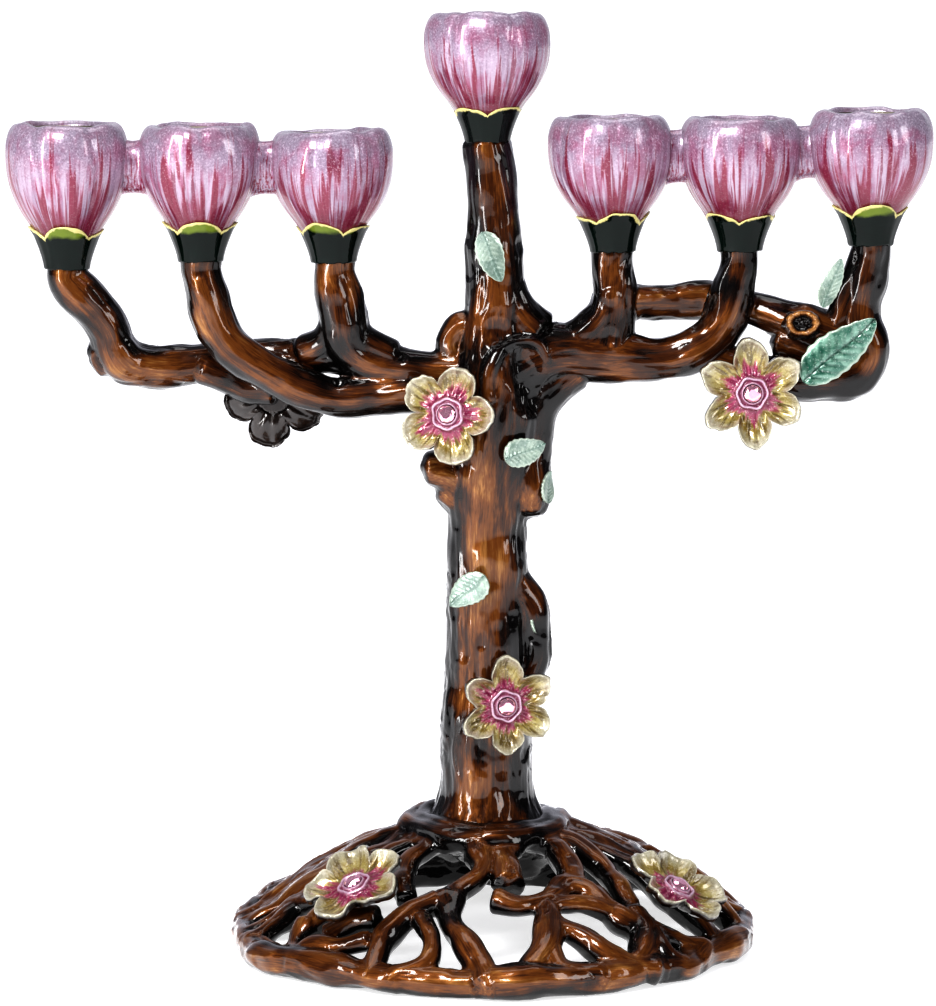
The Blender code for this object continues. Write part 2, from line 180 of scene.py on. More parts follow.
def spline(points, step=0.7, closed=False):
    """A smooth curve through the given points, as rows of x, y, z, radius."""
    points = np.asarray(points, float)
    count = len(points)
    out = []
    for i in range(count if closed else count - 1):
        if closed:
            p, q, r, s = (points[(i + k) % count] for k in (-1, 0, 1, 2))
        else:
            p, q, r, s = (points[min(max(i + k, 0), count - 1)] for k in (-1, 0, 1, 2))
        pieces = max(2, int(np.linalg.norm(r[:3] - q[:3]) / step))
        t = np.arange(pieces)[:, None] / pieces
        out.append(0.5 * (2 * q + (r - p) * t + (2 * p - 5 * q + 4 * r - s) * t ** 2
                          + (3 * q - p - 3 * r + s) * t ** 3))
    if not closed:
        out.append(points[-1:])
    return np.concatenate(out)


class Wood:
    """Branches that share one skin: their axes, radii and the frames that carry the grain."""

    def __init__(self):
        self.lines = []

    def add(self, points, closed=False):
        """A branch through points of x, y, z and radius."""
        line = spline(points, closed=closed)
        place, radius = line[:, :3], line[:, 3]
        if closed:
            along = np.roll(place, -1, 0) - np.roll(place, 1, 0)
        else:
            along = np.gradient(place, axis=0)
        along /= np.linalg.norm(along, axis=1)[:, None]
        side = np.empty_like(along)
        first = np.cross(along[0], (0.13, 0.97, 0.2))
        side[0] = first / np.linalg.norm(first)
        for i in range(1, len(along)):
            carried = side[i - 1] - along[i] * np.dot(side[i - 1], along[i])
            side[i] = carried / np.linalg.norm(carried)
        reach = np.concatenate([[0], np.cumsum(np.linalg.norm(np.diff(place, axis=0), axis=1))])
        self.lines.append({
            "place": place, "radius": radius, "along": along, "side": side,
            "up": np.cross(along, side), "reach": reach, "closed": closed,
        })

    def shell(self, sides=20):
        """One mesh of overlapping closed tubes."""
        points, faces, start = [], [], 0
        turn = np.arange(sides) / sides * TAU
        for line in self.lines:
            ring = (line["side"][:, None] * np.cos(turn)[None, :, None]
                    + line["up"][:, None] * np.sin(turn)[None, :, None])
            rows = line["place"][:, None] + ring * line["radius"][:, None, None]
            count = len(rows)
            points.append(rows.reshape(-1, 3))
            faces += [tuple(start + k for k in face)
                      for face in grid_faces(count, sides, closed_rows=line["closed"])]
            first = start
            start += count * sides
            if not line["closed"]:
                for end, sign, base in ((0, -1, first), (-1, 1, start - sides)):
                    tip = line["place"][end] + sign * line["along"][end] * line["radius"][end] * 0.45
                    points.append(tip[None])
                    for j in range(sides):
                        pair = (base + j, base + (j + 1) % sides)
                        faces.append((start, *pair) if sign > 0 else (start, *pair[::-1]))
                    start += 1
        return np.concatenate(points), faces

    def nearest(self, points):
        """Each point's place in its nearest branch's own straight frame."""
        best = np.full(len(points), 1e9)
        flow = np.zeros((len(points), 3))
        for number, line in enumerate(self.lines):
            for low in range(0, len(points), 20000):
                part = slice(low, low + 20000)
                gap = points[part, None] - line["place"][None]
                far = np.einsum("ijk,ijk->ij", gap, gap)
                near = far.argmin(1)
                pick = np.arange(len(near))
                distance = np.sqrt(far[pick, near]) / line["radius"][near]
                won = distance < best[part]
                offset = gap[pick, near]
                local = np.stack([
                    np.einsum("ij,ij->i", offset, line["side"][near]),
                    np.einsum("ij,ij->i", offset, line["up"][near]),
                    line["reach"][near] + np.einsum("ij,ij->i", offset, line["along"][near]),
                ], axis=1)
                local[:, 2] += 37.0 * number  # so that no two branches share their grain
                flow[part][won] = local[won]
                best[part][won] = distance[won]
        return flow


def skin(wood, name, voxel, smooth, extra=None):
    """The branches as one closed skin, in millimetres."""
    points, faces = wood.shell()
    if extra is not None:
        more, more_faces = extra
        faces = faces + [tuple(len(points) + k for k in face) for face in more_faces]
        points = np.concatenate([points, more])
    mesh = solid_from(name, points, faces)
    obj = bpy.data.objects.new(name, mesh)
    bpy.context.scene.collection.objects.link(obj)
    remesh = obj.modifiers.new("skin", "REMESH")
    remesh.mode = "VOXEL"
    remesh.voxel_size = voxel
    soften = obj.modifiers.new("soften", "SMOOTH")
    soften.factor = 0.5
    soften.iterations = smooth
    return evaluated(obj)


def bark_relief(flow, place, depth=1.0):
    """How far the bark stands out, in millimetres, and how raised it is from 0 to 1."""
    bend = layered(place * 0.09, 2, 5)[:, None] * np.array([1.4, 1.4, 0])
    grain = flow * np.array([0.30, 0.30, 0.045]) + bend * 0.3
    ridge = 1 - np.abs(layered(grain, 2, 11)) * 1.7
    fine = 1 - np.abs(layered(flow * np.array([1.0, 1.0, 0.10]) + bend, 2, 23)) * 1.5
    streaked = smoothstep(-0.25, 0.45, noise(place * 0.055 + 3.1, 61))
    lump = layered(place * 0.12, 2, 31)
    pit = smoothstep(0.45, 0.8, noise(flow * np.array([0.33, 0.33, 0.2]), 47))
    height = depth * (0.24 * ridge + 0.09 * fine * streaked + 0.50 * lump - 0.26 * pit)
    raised = np.clip(0.36 + 0.24 * ridge + 0.22 * fine * streaked + 0.20 * lump - 0.5 * pit, 0, 1)
    return height, raised


def finish_wood(wood, mesh, name, material, depth, floor, keep, painted_light_side, hollows=()):
    """Carves the bark into the skin and stores what its material reads."""
    place = points_of(mesh)
    normal = normals_of(mesh)
    flow = wood.nearest(place)
    height, raised = bark_relief(flow, place, depth)
    height = height * keep(place)
    for centre, radius, sink in hollows:
        gap = np.linalg.norm(place - np.array(centre), axis=1) / radius
        share = 1 - smoothstep(0.35, 1.0, gap)
        height -= sink * share
        raised = np.clip(raised - 0.35 * share * np.sign(sink), 0, 1)
    # Painted light and painted shade: the amber share below rises on the faces that the caller's
    # side rule picks and falls to near-black on the rest, broken up by slow random drift.
    drift = layered(place * 0.075 + 40.0, 3, 71)
    amber = smoothstep(0.42, 1.0, painted_light_side(place, normal) + 0.32 * drift)
    place = place + normal * height[:, None]
    place[:, 2] = np.maximum(place[:, 2], floor)
    mesh.vertices.foreach_set("co", (place * MM).astype(np.float32).ravel())
    mesh.update()
    give(mesh, "flow", flow)
    give(mesh, "raised", raised)
    give(mesh, "amber_and_painted_light", amber)
    return make_object(name, mesh, material)


# ---------------------------------------------------------------- materials

def shader(name):
    made = bpy.data.materials.new(name)
    made.use_nodes = True
    tree = made.node_tree
    return made, tree, tree.nodes["Principled BSDF"]


def node(tree, kind, **settings):
    made = tree.nodes.new(kind)
    for key, value in settings.items():
        if key.startswith("in_"):
            made.inputs[key[3:].replace("_", " ")].default_value = value
        else:
            setattr(made, key, value)
    return made


def attribute(tree, name, vector=False):
    read = node(tree, "ShaderNodeAttribute", attribute_name=name)
    return read.outputs["Vector" if vector else "Fac"]


def object_place(tree):
    return node(tree, "ShaderNodeTexCoord").outputs["Object"]


def scaled(tree, source, scale, offset=(0, 0, 0)):
    mapping = node(tree, "ShaderNodeMapping")
    mapping.inputs["Scale"].default_value = scale
    mapping.inputs["Location"].default_value = offset
    tree.links.new(source, mapping.inputs["Vector"])
    return mapping.outputs["Vector"]


def cloud(tree, source, scale, detail=4.0, rough=0.55, warp=0.0):
    made = node(tree, "ShaderNodeTexNoise", in_Scale=scale, in_Detail=detail, in_Roughness=rough,
                in_Distortion=warp)
    tree.links.new(source, made.inputs["Vector"])
    return made.outputs["Fac"]


def mathed(tree, operation, first, second=None, third=None, clamp=False):
    made = node(tree, "ShaderNodeMath", operation=operation, use_clamp=clamp)
    for socket, value in zip(made.inputs, (first, second, third), strict=False):
        if value is None:
            continue
        if isinstance(value, (int, float)):
            socket.default_value = value
        else:
            tree.links.new(value, socket)
    return made.outputs[0]


def times(tree, first, second):
    return mathed(tree, "MULTIPLY", first, second)


def weighed(tree, value, factor, rest, clamp=False):
    """The value times the factor, plus the rest."""
    return mathed(tree, "MULTIPLY_ADD", value, factor, rest, clamp=clamp)


def ramp(tree, source, stops):
    """A soft ramp from (position, colour or grey) stops."""
    made = node(tree, "ShaderNodeValToRGB")
    bar = made.color_ramp
    bar.interpolation = "EASE"
    while len(bar.elements) < len(stops):
        bar.elements.new(0.5)
    for element, (position, colour) in zip(bar.elements, stops, strict=True):
        element.position = position
        if isinstance(colour, (int, float)):
            colour = (colour, colour, colour)
        element.color = (*colour[:3], 1)
    tree.links.new(source, made.inputs["Fac"])
    return made.outputs["Color"]


def blended(tree, share, first, second):
    made = node(tree, "ShaderNodeMix", data_type="RGBA")
    for socket, value in ((made.inputs[0], share), (made.inputs[6], first),
                          (made.inputs[7], second)):
        if isinstance(value, (int, float)):
            socket.default_value = value
        elif isinstance(value, tuple):
            socket.default_value = (*value[:3], 1)
        else:
            tree.links.new(value, socket)
    return made.outputs[2]


def painted(tree, share, strength, under, over):
    """One colour laid over another, where the share says and as strongly as asked."""
    return blended(tree, times(tree, share, strength), under, over)


def bumped(tree, base, height, strength, distance, socket="Normal"):
    made = node(tree, "ShaderNodeBump", in_Strength=strength, in_Distance=distance)
    tree.links.new(height, made.inputs["Height"])
    tree.links.new(made.outputs["Normal"], base.inputs[socket])


def glazed(base, metallic, roughness, coat=1.0, coat_roughness=0.03):
    base.inputs["Metallic"].default_value = metallic
    base.inputs["Roughness"].default_value = roughness
    base.inputs["Coat Weight"].default_value = coat
    base.inputs["Coat Roughness"].default_value = coat_roughness


def bark_material(name, lift=0.0):
    """Glossy amber enamel over bright metal, pooled near-black in the grain; its amber is partly
    painted light and its near-black partly painted shade, set by which way the skin faces.
    """
    made, tree, base = shader(name)
    flow = attribute(tree, "flow", True)
    raised = attribute(tree, "raised")
    # the stored amber share: painted light on the faces picked by which way they turn, painted shade
    # on the rest, with slow random drift
    amber = attribute(tree, "amber_and_painted_light")
    place = object_place(tree)
    grain = cloud(tree, scaled(tree, flow, (0.75, 0.75, 0.075)), 1.0, 6.0, 0.62, 0.5)
    strand = cloud(tree, scaled(tree, flow, (3.2, 3.2, 0.20), (7, 3, 5)), 1.0, 4.0, 0.6, 0.3)
    patch = cloud(tree, place, 62.0, 3.0, 0.5, 0.6)
    tone = weighed(tree, raised, 0.26, lift - 0.80)
    tone = weighed(tree, amber, 0.52, tone)
    tone = weighed(tree, grain, 0.60, tone)
    tone = weighed(tree, strand, 0.36, tone)
    tone = weighed(tree, patch, 0.64, tone, clamp=True)
    colour = ramp(tree, tone, (
        (0.30, (0.0020, 0.0013, 0.0013)), (0.44, (0.009, 0.0036, 0.0022)),
        (0.57, (0.045, 0.0135, 0.0040)), (0.72, (0.145, 0.050, 0.012)),
        (0.92, (0.36, 0.175, 0.055))))
    tree.links.new(colour, base.inputs["Base Color"])
    metal = ramp(tree, tone, ((0.45, 0.0), (0.75, 0.5)))
    tree.links.new(metal, base.inputs["Metallic"])
    glazed(base, 0.0, 0.36, 1.0, 0.02)
    base.inputs["Specular IOR Level"].default_value = 0.08
    base.inputs["Coat IOR"].default_value = 1.46
    relief = weighed(tree, strand, 0.5, grain)
    bumped(tree, base, relief, 0.3, 0.0003)
    bumped(tree, base, grain, 0.08, 0.0003, "Coat Normal")
    return made


def petal_material():
    """Pearl pink enamel, silvery at the lip, with crimson flames rising from the foot."""
    made, tree, base = shader("petal_enamel")
    way = attribute(tree, "way", True)
    high = attribute(tree, "high")
    place = object_place(tree)
    stroke = cloud(tree, scaled(tree, way, (1.9, 1.9, 0.15)), 1.0, 2.0, 0.45, 0.7)
    lick = cloud(tree, scaled(tree, way, (3.4, 3.4, 0.22), (5, 1, 2)), 1.0, 3.0, 0.55, 0.6)
    pale = cloud(tree, scaled(tree, way, (1.7, 1.7, 0.16), (9, 4, 7)), 1.0, 2.0, 0.5, 0.3)
    drift = cloud(tree, place, 190.0, 3.0, 0.55, 0.4)
    speck = cloud(tree, place, 2300.0, 2.0, 0.6)
    body = blended(tree, ramp(tree, drift, ((0.36, 0.0), (0.64, 1.0))), (0.27, 0.115, 0.185),
                   (0.29, 0.215, 0.29))
    silver = ramp(tree, pale, ((0.47, 0.0), (0.60, 1.0)))
    low = ramp(tree, high, ((0.50, 1.0), (0.80, 0.15)))
    body = blended(tree, times(tree, silver, low), body, (0.385, 0.300, 0.380))
    need = weighed(tree, high, 0.34, 0.375)
    over = mathed(tree, "ADD", mathed(tree, "SUBTRACT", stroke, need), 0.5)
    wash = ramp(tree, over, ((0.44, 0.0), (0.54, 1.0)))
    red = ramp(tree, over, ((0.50, 0.0), (0.56, 1.0)))
    colour = blended(tree, times(tree, wash, 0.55), body, (0.28, 0.050, 0.110))
    colour = painted(tree, red, 0.85, colour, (0.17, 0.006, 0.030))
    need = weighed(tree, high, 0.30, 0.43)
    over = mathed(tree, "ADD", mathed(tree, "SUBTRACT", lick, need), 0.5)
    fine = ramp(tree, over, ((0.49, 0.0), (0.55, 1.0)))
    colour = painted(tree, fine, 0.75, colour, (0.15, 0.006, 0.032))
    foot = ramp(tree, weighed(tree, lick, 0.30, high), ((0.12, 1.0), (0.42, 0.0)))
    colour = painted(tree, foot, 0.75, colour, (0.085, 0.002, 0.016))
    lip = weighed(tree, drift, 0.30, times(tree, high, 0.7))
    lip = ramp(tree, lip, ((0.62, 0.0), (0.86, 1.0)))
    colour = painted(tree, lip, 0.80, colour, (0.25, 0.215, 0.27))
    dusty = ramp(tree, high, ((0.35, 0.22), (0.75, 1.0)))
    sparkle = times(tree, ramp(tree, speck, ((0.52, 0.0), (0.72, 0.34))), dusty)
    colour = blended(tree, sparkle, colour, (0.80, 0.68, 0.78))
    dull = times(tree, ramp(tree, speck, ((0.32, 0.45), (0.46, 0.0))), dusty)
    colour = blended(tree, dull, colour, (0.12, 0.05, 0.09))
    tree.links.new(colour, base.inputs["Base Color"])
    glazed(base, 0.25, 0.36, 0.9, 0.10)
    base.inputs["Specular IOR Level"].default_value = 0.2
    relief = weighed(tree, lick, 0.6, stroke)
    relief = weighed(tree, speck, 0.10, relief)
    bumped(tree, base, relief, 0.30, 0.0003)
    return made


def calyx_material():
    """Bottle-green enamel, almost black, with thin pale gold edges."""
    made, tree, base = shader("calyx_enamel")
    edge = attribute(tree, "edge")
    moss_at = attribute(tree, "moss")
    place = object_place(tree)
    drift = cloud(tree, place, 350.0, 4.0, 0.55, 0.4)
    colour = blended(tree, drift, (0.0010, 0.0026, 0.0021), (0.0020, 0.0078, 0.0055))
    near = weighed(tree, drift, 0.25, times(tree, edge, 0.5))
    moss = ramp(tree, weighed(tree, moss_at, 0.28, near), ((0.60, 0.0), (0.78, 1.0)))
    colour = painted(tree, moss, 0.85, colour, (0.16, 0.21, 0.03))
    gold = ramp(tree, near, ((0.53, 0.0), (0.58, 1.0)))
    colour = blended(tree, gold, colour, (0.56, 0.50, 0.22))
    tree.links.new(colour, base.inputs["Base Color"])
    glazed(base, 0.0, 0.4, 0.6, 0.015)
    base.inputs["Specular IOR Level"].default_value = 0.0
    base.inputs["Coat IOR"].default_value = 1.45
    bumped(tree, base, drift, 0.12, 0.0003)
    return made


def blossom_material():
    """Cream pearl rims, olive-gold furrows and a ragged magenta star; dark brown behind."""
    made, tree, base = shader("blossom_enamel")
    out = attribute(tree, "out")
    star = attribute(tree, "star")
    behind = attribute(tree, "behind")
    way = attribute(tree, "way", True)
    place = object_place(tree)
    ray = cloud(tree, scaled(tree, way, (1.5, 1.5, 0.18)), 1.0, 4.0, 0.6, 0.35)
    drift = cloud(tree, place, 260.0, 3.0, 0.55, 0.4)
    speck = cloud(tree, place, 2400.0, 2.0, 0.6)
    colour = blended(tree, ramp(tree, drift, ((0.36, 0.0), (0.64, 1.0))), (0.23, 0.155, 0.026),
                     (0.40, 0.33, 0.12))
    furrow = ramp(tree, ray, ((0.38, 1.0), (0.52, 0.0)))
    colour = painted(tree, furrow, 0.85, colour, (0.085, 0.052, 0.012))
    pale = weighed(tree, ray, 0.50, times(tree, out, 0.7))
    pale = ramp(tree, pale, ((0.66, 0.0), (0.94, 1.0)))
    colour = painted(tree, pale, 0.9, colour, (0.47, 0.45, 0.36))
    reach = mathed(tree, "SUBTRACT", star, weighed(tree, ray, 1.1, -0.55))
    pink = ramp(tree, reach, ((0.20, 1.0), (0.42, 0.0)))
    colour = painted(tree, pink, 0.92, colour, (0.29, 0.020, 0.095))
    core = ramp(tree, reach, ((0.04, 1.0), (0.22, 0.0)))
    colour = painted(tree, core, 0.8, colour, (0.16, 0.004, 0.050))
    ring = attribute(tree, "ring")
    colour = blended(tree, ring, colour, (0.62, 0.44, 0.56))
    sparkle = ramp(tree, speck, ((0.56, 0.0), (0.72, 1.0)))
    colour = painted(tree, sparkle, 0.4, colour, (0.80, 0.76, 0.66))
    dull = ramp(tree, speck, ((0.34, 1.0), (0.46, 0.0)))
    colour = painted(tree, dull, 0.3, colour, (0.10, 0.06, 0.03))
    rust = blended(tree, drift, (0.003, 0.002, 0.002), (0.022, 0.008, 0.003))
    colour = blended(tree, behind, colour, rust)
    tree.links.new(colour, base.inputs["Base Color"])
    glazed(base, 0.30, 0.32)
    bumped(tree, base, weighed(tree, speck, 0.12, ray), 0.4, 0.00035)
    return made


def leaf_material(name, light, dark, vein):
    """Pearl green enamel, pale at the margin and deeper along the ribs."""
    made, tree, base = shader(name)
    way = attribute(tree, "way", True)
    rib = attribute(tree, "rib")
    place = object_place(tree)
    drift = cloud(tree, place, 330.0, 4.0, 0.6, 0.5)
    speck = cloud(tree, place, 2400.0, 2.0, 0.6)
    line = cloud(tree, scaled(tree, way, (1.2, 0.4, 1)), 1.0, 4.0, 0.6, 0.4)
    colour = blended(tree, ramp(tree, drift, ((0.38, 0.0), (0.62, 1.0))), dark, light)
    colour = painted(tree, rib, 0.85, colour, vein)
    margin = times(tree, attribute(tree, "margin"), 0.75)
    colour = blended(tree, margin, colour, (0.46, 0.53, 0.44))
    sparkle = ramp(tree, speck, ((0.56, 0.0), (0.72, 1.0)))
    colour = painted(tree, sparkle, 0.35, colour, (0.72, 0.80, 0.74))
    tree.links.new(colour, base.inputs["Base Color"])
    glazed(base, 0.35, 0.3)
    bumped(tree, base, line, 0.25, 0.0003)
    return made


def crystal_material():
    """Pink foiled crystal."""
    made, tree, base = shader("pink_crystal")
    place = object_place(tree)
    tint = cloud(tree, place, 900.0, 2.0)
    colour = blended(tree, tint, (0.90, 0.34, 0.52), (1.0, 0.66, 0.78))
    tree.links.new(colour, base.inputs["Base Color"])
    glazed(base, 0.8, 0.02, 1.0, 0.0)
    base.inputs["IOR"].default_value = 1.75
    return made


def metal_material(name, light, dark, roughness):
    """Turned bare metal with faint rings and stains."""
    made, tree, base = shader(name)
    place = object_place(tree)
    ring = cloud(tree, scaled(tree, place, (40, 40, 2600)), 1.0, 3.0)
    stain = cloud(tree, place, 220.0, 4.0, 0.6, 0.5)
    colour = blended(tree, ramp(tree, stain, ((0.35, 0.0), (0.65, 1.0))), dark, light)
    tree.links.new(colour, base.inputs["Base Color"])
    base.inputs["Metallic"].default_value = 1.0
    rough = weighed(tree, stain, 0.3, roughness - 0.15)
    tree.links.new(rough, base.inputs["Roughness"])
    bumped(tree, base, ring, 0.15, 0.0001)
    return made


BARK = bark_material("bark_enamel")
ROOT = bark_material("root_enamel", 0.02)
PETAL = petal_material()
CALYX = calyx_material()
BLOSSOM = blossom_material()
SAGE = leaf_material("sage_enamel", (0.34, 0.42, 0.35), (0.18, 0.25, 0.21), (0.12, 0.19, 0.155))
TEAL = leaf_material("teal_enamel", (0.17, 0.31, 0.24), (0.020, 0.115, 0.075), (0.003, 0.035, 0.022))
CRYSTAL = crystal_material()
PEWTER = metal_material("well_pewter", (0.30, 0.27, 0.22), (0.12, 0.10, 0.08), 0.4)
STEEL = metal_material("plain_steel", (0.62, 0.62, 0.63), (0.40, 0.40, 0.41), 0.35)


# ---------------------------------------------------------------- tree

# name: x, y, z of the cup's foot, its height, and its lean to the right in degrees
CUPS = {
    "left_outer": (-86.0, 0.0, 146.2, 32.2, 0.5),
    "left_middle": (-57.3, 0.0, 147.9, 30.2, 0.0),
    "left_inner": (-28.8, 0.0, 147.7, 29.2, -0.7),
    "centre": (4.2, 0.0, 173.2, 28.6, -0.4),
    "right_inner": (31.1, 0.0, 149.9, 29.9, -1.5),
    "right_middle": (58.2, 0.0, 150.1, 29.4, 0.0),
    "right_outer": (86.3, 0.0, 151.4, 29.8, -0.5),
}


def cup_frame(name):
    """The cup's own frame, with its origin at the foot."""
    x, y, z, _, lean = CUPS[name]
    return Matrix.Translation((x, y, z)) @ Euler((0, math.radians(lean), 0)).to_matrix().to_4x4()


def moved(matrix, points):
    matrix = np.array(matrix)
    return points @ matrix[:3, :3].T + matrix[:3, 3]


def cup_points(name, points):
    return moved(cup_frame(name), points)


# each row of wood: x, y, z of the axis, and radius
TRUNK = (
    (4.1, 0, 26.6, 13.2), (4.1, 0, 28.0, 12.4), (4.1, 0, 30.4, 11.4), (4.1, 0, 34.5, 10.5),
    (4.0, 0, 44, 10.3), (4.2, 0, 57, 9.3), (4.1, 0, 75, 8.9), (4.1, 0, 92, 8.6),
    (4.8, 0, 106, 9.8), (5.6, 0, 116, 10.4), (6.0, 0, 126, 8.9), (6.2, 0, 134, 7.2),
    (6.2, 0, 141, 6.4), (5.7, 0, 150, 5.8), (5.1, 0, 161, 5.4), (4.5, 0, 169, 5.1),
    (4.2, 0, 173.6, 5.0),
)
BOUGHS = (
    ("left_middle", (
        (-55.9, 0, 140.8, 4.8), (-54.6, 0, 136.3, 4.7), (-52.0, -0.3, 131.3, 4.4),
        (-48.0, -0.6, 127.6, 4.4), (-42.2, -0.8, 124.0, 4.3), (-35.3, -0.8, 120.6, 4.3),
        (-28.0, -0.6, 118.8, 4.2), (-20, -0.3, 119.2, 4.4), (-12, 0, 119.8, 4.8),
        (-4, 0, 120.2, 5.3), (3, 0, 120.4, 5.7))),
    ("left_inner", (
        (-27.7, 0, 140.6, 5.1), (-26.9, 0, 136, 5.3), (-26.0, 0.4, 131, 5.4),
        (-22, 0.6, 126.8, 4.6), (-14, 0.5, 125.2, 4.2), (-6, 0.2, 124.4, 4.2), (1, 0, 124, 4.6))),
    ("left_outer", (
        (-82.4, 0.2, 140.4, 4.6), (-79.5, 0.8, 136.9, 4.5), (-77.2, 1.5, 133.2, 4.6),
        (-76.0, 2.2, 129.4, 4.8), (-73.2, 3.4, 126.2, 4.8), (-68, 4.8, 124.9, 4.6),
        (-61, 6.4, 125.0, 4.5), (-53, 7.2, 126.2, 4.2), (-44, 7.0, 127.0, 3.9),
        (-36, 4.8, 127.4, 3.7), (-29, 2.6, 127.6, 4.0), (-22, 1, 126.4, 4.2))),
    ("right_middle", (
        (57.2, 0, 142.4, 4.7), (55.6, 0, 137.0, 4.6), (53.0, -0.4, 132.6, 4.5),
        (48.6, -0.8, 129.4, 4.7), (42, -0.6, 127.5, 4.8), (34, 0, 127.5, 5.1),
        (27, 0, 128.0, 5.8), (20, 0, 128.4, 6.4), (13, 0, 126.0, 6.8), (5, 0, 119, 7.4))),
    ("right_inner", (
        (31.2, 0, 142.6, 4.7), (31.0, 0, 138, 4.9), (30.4, 0, 133, 5.2), (29.6, 0, 128, 5.0))),
    ("right_outer", (
        (85.4, 0, 144.2, 4.5), (84.5, 0, 139.4, 4.1), (84.4, 0, 134.8, 4.3),
        (85.6, 0, 130.5, 4.8), (85.4, 0, 126.6, 4.9), (83.2, 0, 123.4, 4.8), (79, 0, 122.5, 4.6),
        (73, 0, 122.4, 4.5), (66, 0.3, 122.9, 4.4), (59, 0.6, 124.6, 4.2), (52, 1, 127, 4.0))),
)
EXTRA_WOOD = (
    # upper bough that ties the right stems together
    ((32.5, 1.5, 138.8, 3.6), (39, 3.4, 139.0, 4.0), (47, 5.0, 139.1, 4.0), (54, 5.8, 139.0, 4.0),
     (61, 5.0, 137.8, 3.8), (67, 3.4, 136.0, 4.1), (72.5, 1.6, 134.2, 4.4), (79, 0.6, 131.8, 4.5),
     (84.5, 0, 130, 4.2)),
    ((66.5, 2.2, 130.6, 3.0), (71, 2, 129.5, 4.2), (78, 1, 127.5, 4.6), (84, 0.5, 127, 4.6)),
    # fillets where stems flow into boughs
    ((-27.6, 0.2, 135, 4.4), (-30.6, 1.4, 130.8, 3.8), (-35.5, 3.6, 128.4, 3.4)),
    ((-26.9, 0.2, 135, 4.4), (-22.8, 0.5, 130.4, 4.0), (-16.5, 0.5, 127.2, 4.0)),
    ((6.5, 0, 144, 5.4), (9.5, 0, 137.5, 5.4), (14, 0, 132.6, 5.6)),
    ((31, 0, 141, 4.5), (29.4, 0, 136, 4.9), (24.5, 0, 131.3, 5.2)),
    ((31.5, 0.5, 137, 4.2), (34.0, 1.5, 139, 3.4)),
    # web and swelling under the right bough
    ((23, 0, 124.4, 4.0), (15.6, 0, 118.4, 4.8), (12.9, 0, 112, 5.2), (12.0, 0, 105.5, 5.4),
     (12.8, -1, 99, 5.3), (13.0, -1.5, 94.2, 3.8)),
    # stubs and swellings on the trunk
    ((0, -1, 100, 5.5), (-5.2, -2.0, 103.0, 4.4), (-8.8, -2.6, 103.4, 3.5)),
    ((-1, -1, 97, 5.0), (-5.6, -1.6, 99.8, 3.2)),
    ((0.5, 0, 79, 6.0), (-2.9, -1.0, 78.4, 3.6)),
    ((0, 0, 43, 7.2), (-2.4, -1.5, 44, 5.0)),
    ((6, 0, 40, 8.0), (9.4, -1, 40.5, 5.6)),
    ((9, -1, 78, 5.0), (13.4, -1.6, 73.5, 3.7), (14.6, -2.2, 68, 3.5), (14.6, -2.2, 62.5, 3.4),
     (13.0, -2.0, 58.5, 3.3)),
    ((4, 4, 60, 5.6), (3.0, 8.4, 62, 3.2)),
    # swelling in the crotch, left of the stem
    ((3, 1, 132, 5.0), (-1.6, 0.5, 133.8, 3.1), (-4.2, 0.4, 130.6, 2.9), (-3.4, 0.4, 127, 3.2)),
    # swelling on the right outer stem, which the small leaf lies against
    ((85.0, 0.2, 150, 3.0), (83.3, 0.2, 144.5, 3.3), (81.6, 0.2, 139.5, 3.5),
     (79.8, 0.4, 134, 3.6)),
    # twig towards the rear blossom
    ((-57, 5.5, 124.5, 3.8), (-51.5, 5.5, 122.0, 3.2), (-47.0, 5.2, 120.2, 3.2),
     (-42, 4.0, 120.5, 3.4)),
    # lump on the outer left bough
    ((-76, 2.5, 130, 3.6), (-79.0, 3.2, 127.8, 3.6), (-77.0, 3.4, 124.8, 2.8)),
    # rolled lip of bark round the scar in the right crotch
    ((4.6, -9.0, 119.0, 1.7), (4.4, -8.6, 124.5, 1.5), (7.2, -7.6, 130.2, 1.4),
     (12.0, -6.3, 131.6, 1.2), (15.6, -5.8, 130.4, 1.2), (17.0, -6.0, 127.0, 1.1)),
)
# places where the bark sinks or swells: centre, radius and depth
HOLLOWS = (
    ((11.6, -6.0, 125.0), 5.8, 1.9), ((11.8, -5.4, 119.0), 5.0, 1.4),
    ((-27.6, -3.5, 123.6), 2.6, 1.6), ((30.5, -4.5, 141.0), 2.2, -0.6),
    ((30.3, -5.0, 132.0), 2.4, 0.7), ((6.2, -6.0, 133.0), 4.0, 0.8),
)


def build_tree():
    """The trunk, the boughs and the stems as one skin of bark."""
    wood = Wood()
    wood.add(TRUNK)
    for cup, points in BOUGHS:
        inside_cup, below_cup = cup_points(cup, np.array([[0, 0, 1.0], [0, 0, -2.2]]))
        wood.add([(*inside_cup, 4.3), (*below_cup, 4.2), *points])
    for points in EXTRA_WOOD:
        wood.add(points)
    mesh = skin(wood, "tree_bark", 0.42, 8)

    def keep(place):
        return 0.35 + 0.65 * smoothstep(26.0, 30.0, place[:, 2])

    # Painted light and painted shade: faces turned to the front or back, and a little those turned
    # up, go amber; the sides go near-black.
    def painted_light_side(place, normal):
        return np.abs(normal[:, 1]) + 0.20 * np.clip(normal[:, 2], 0, 1)

    tree = finish_wood(wood, mesh, "tree_bark", BARK, 1.0, 26.3, keep, painted_light_side, HOLLOWS)
    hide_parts("trunk", "left_limb", "left_inner_branch", "left_outer_branch", "right_limb",
                "right_inner_branch", "right_outer_branch", "right_upper_branch")
    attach(tree, "root")


# ---------------------------------------------------------------- roots

# the dome's outline: distance from its axis, and height
DOME = (
    (0.0, 26.0), (13.2, 26.0), (16.5, 25.4), (20.5, 24.0), (26.0, 21.9), (32.0, 19.4),
    (37.5, 16.8), (42.5, 14.0), (47.5, 10.9), (52.0, 7.6), (55.4, 4.6), (57.2, 2.4),
)


def dome(distance):
    return np.interp(distance, [r for r, _ in DOME], [z for _, z in DOME])


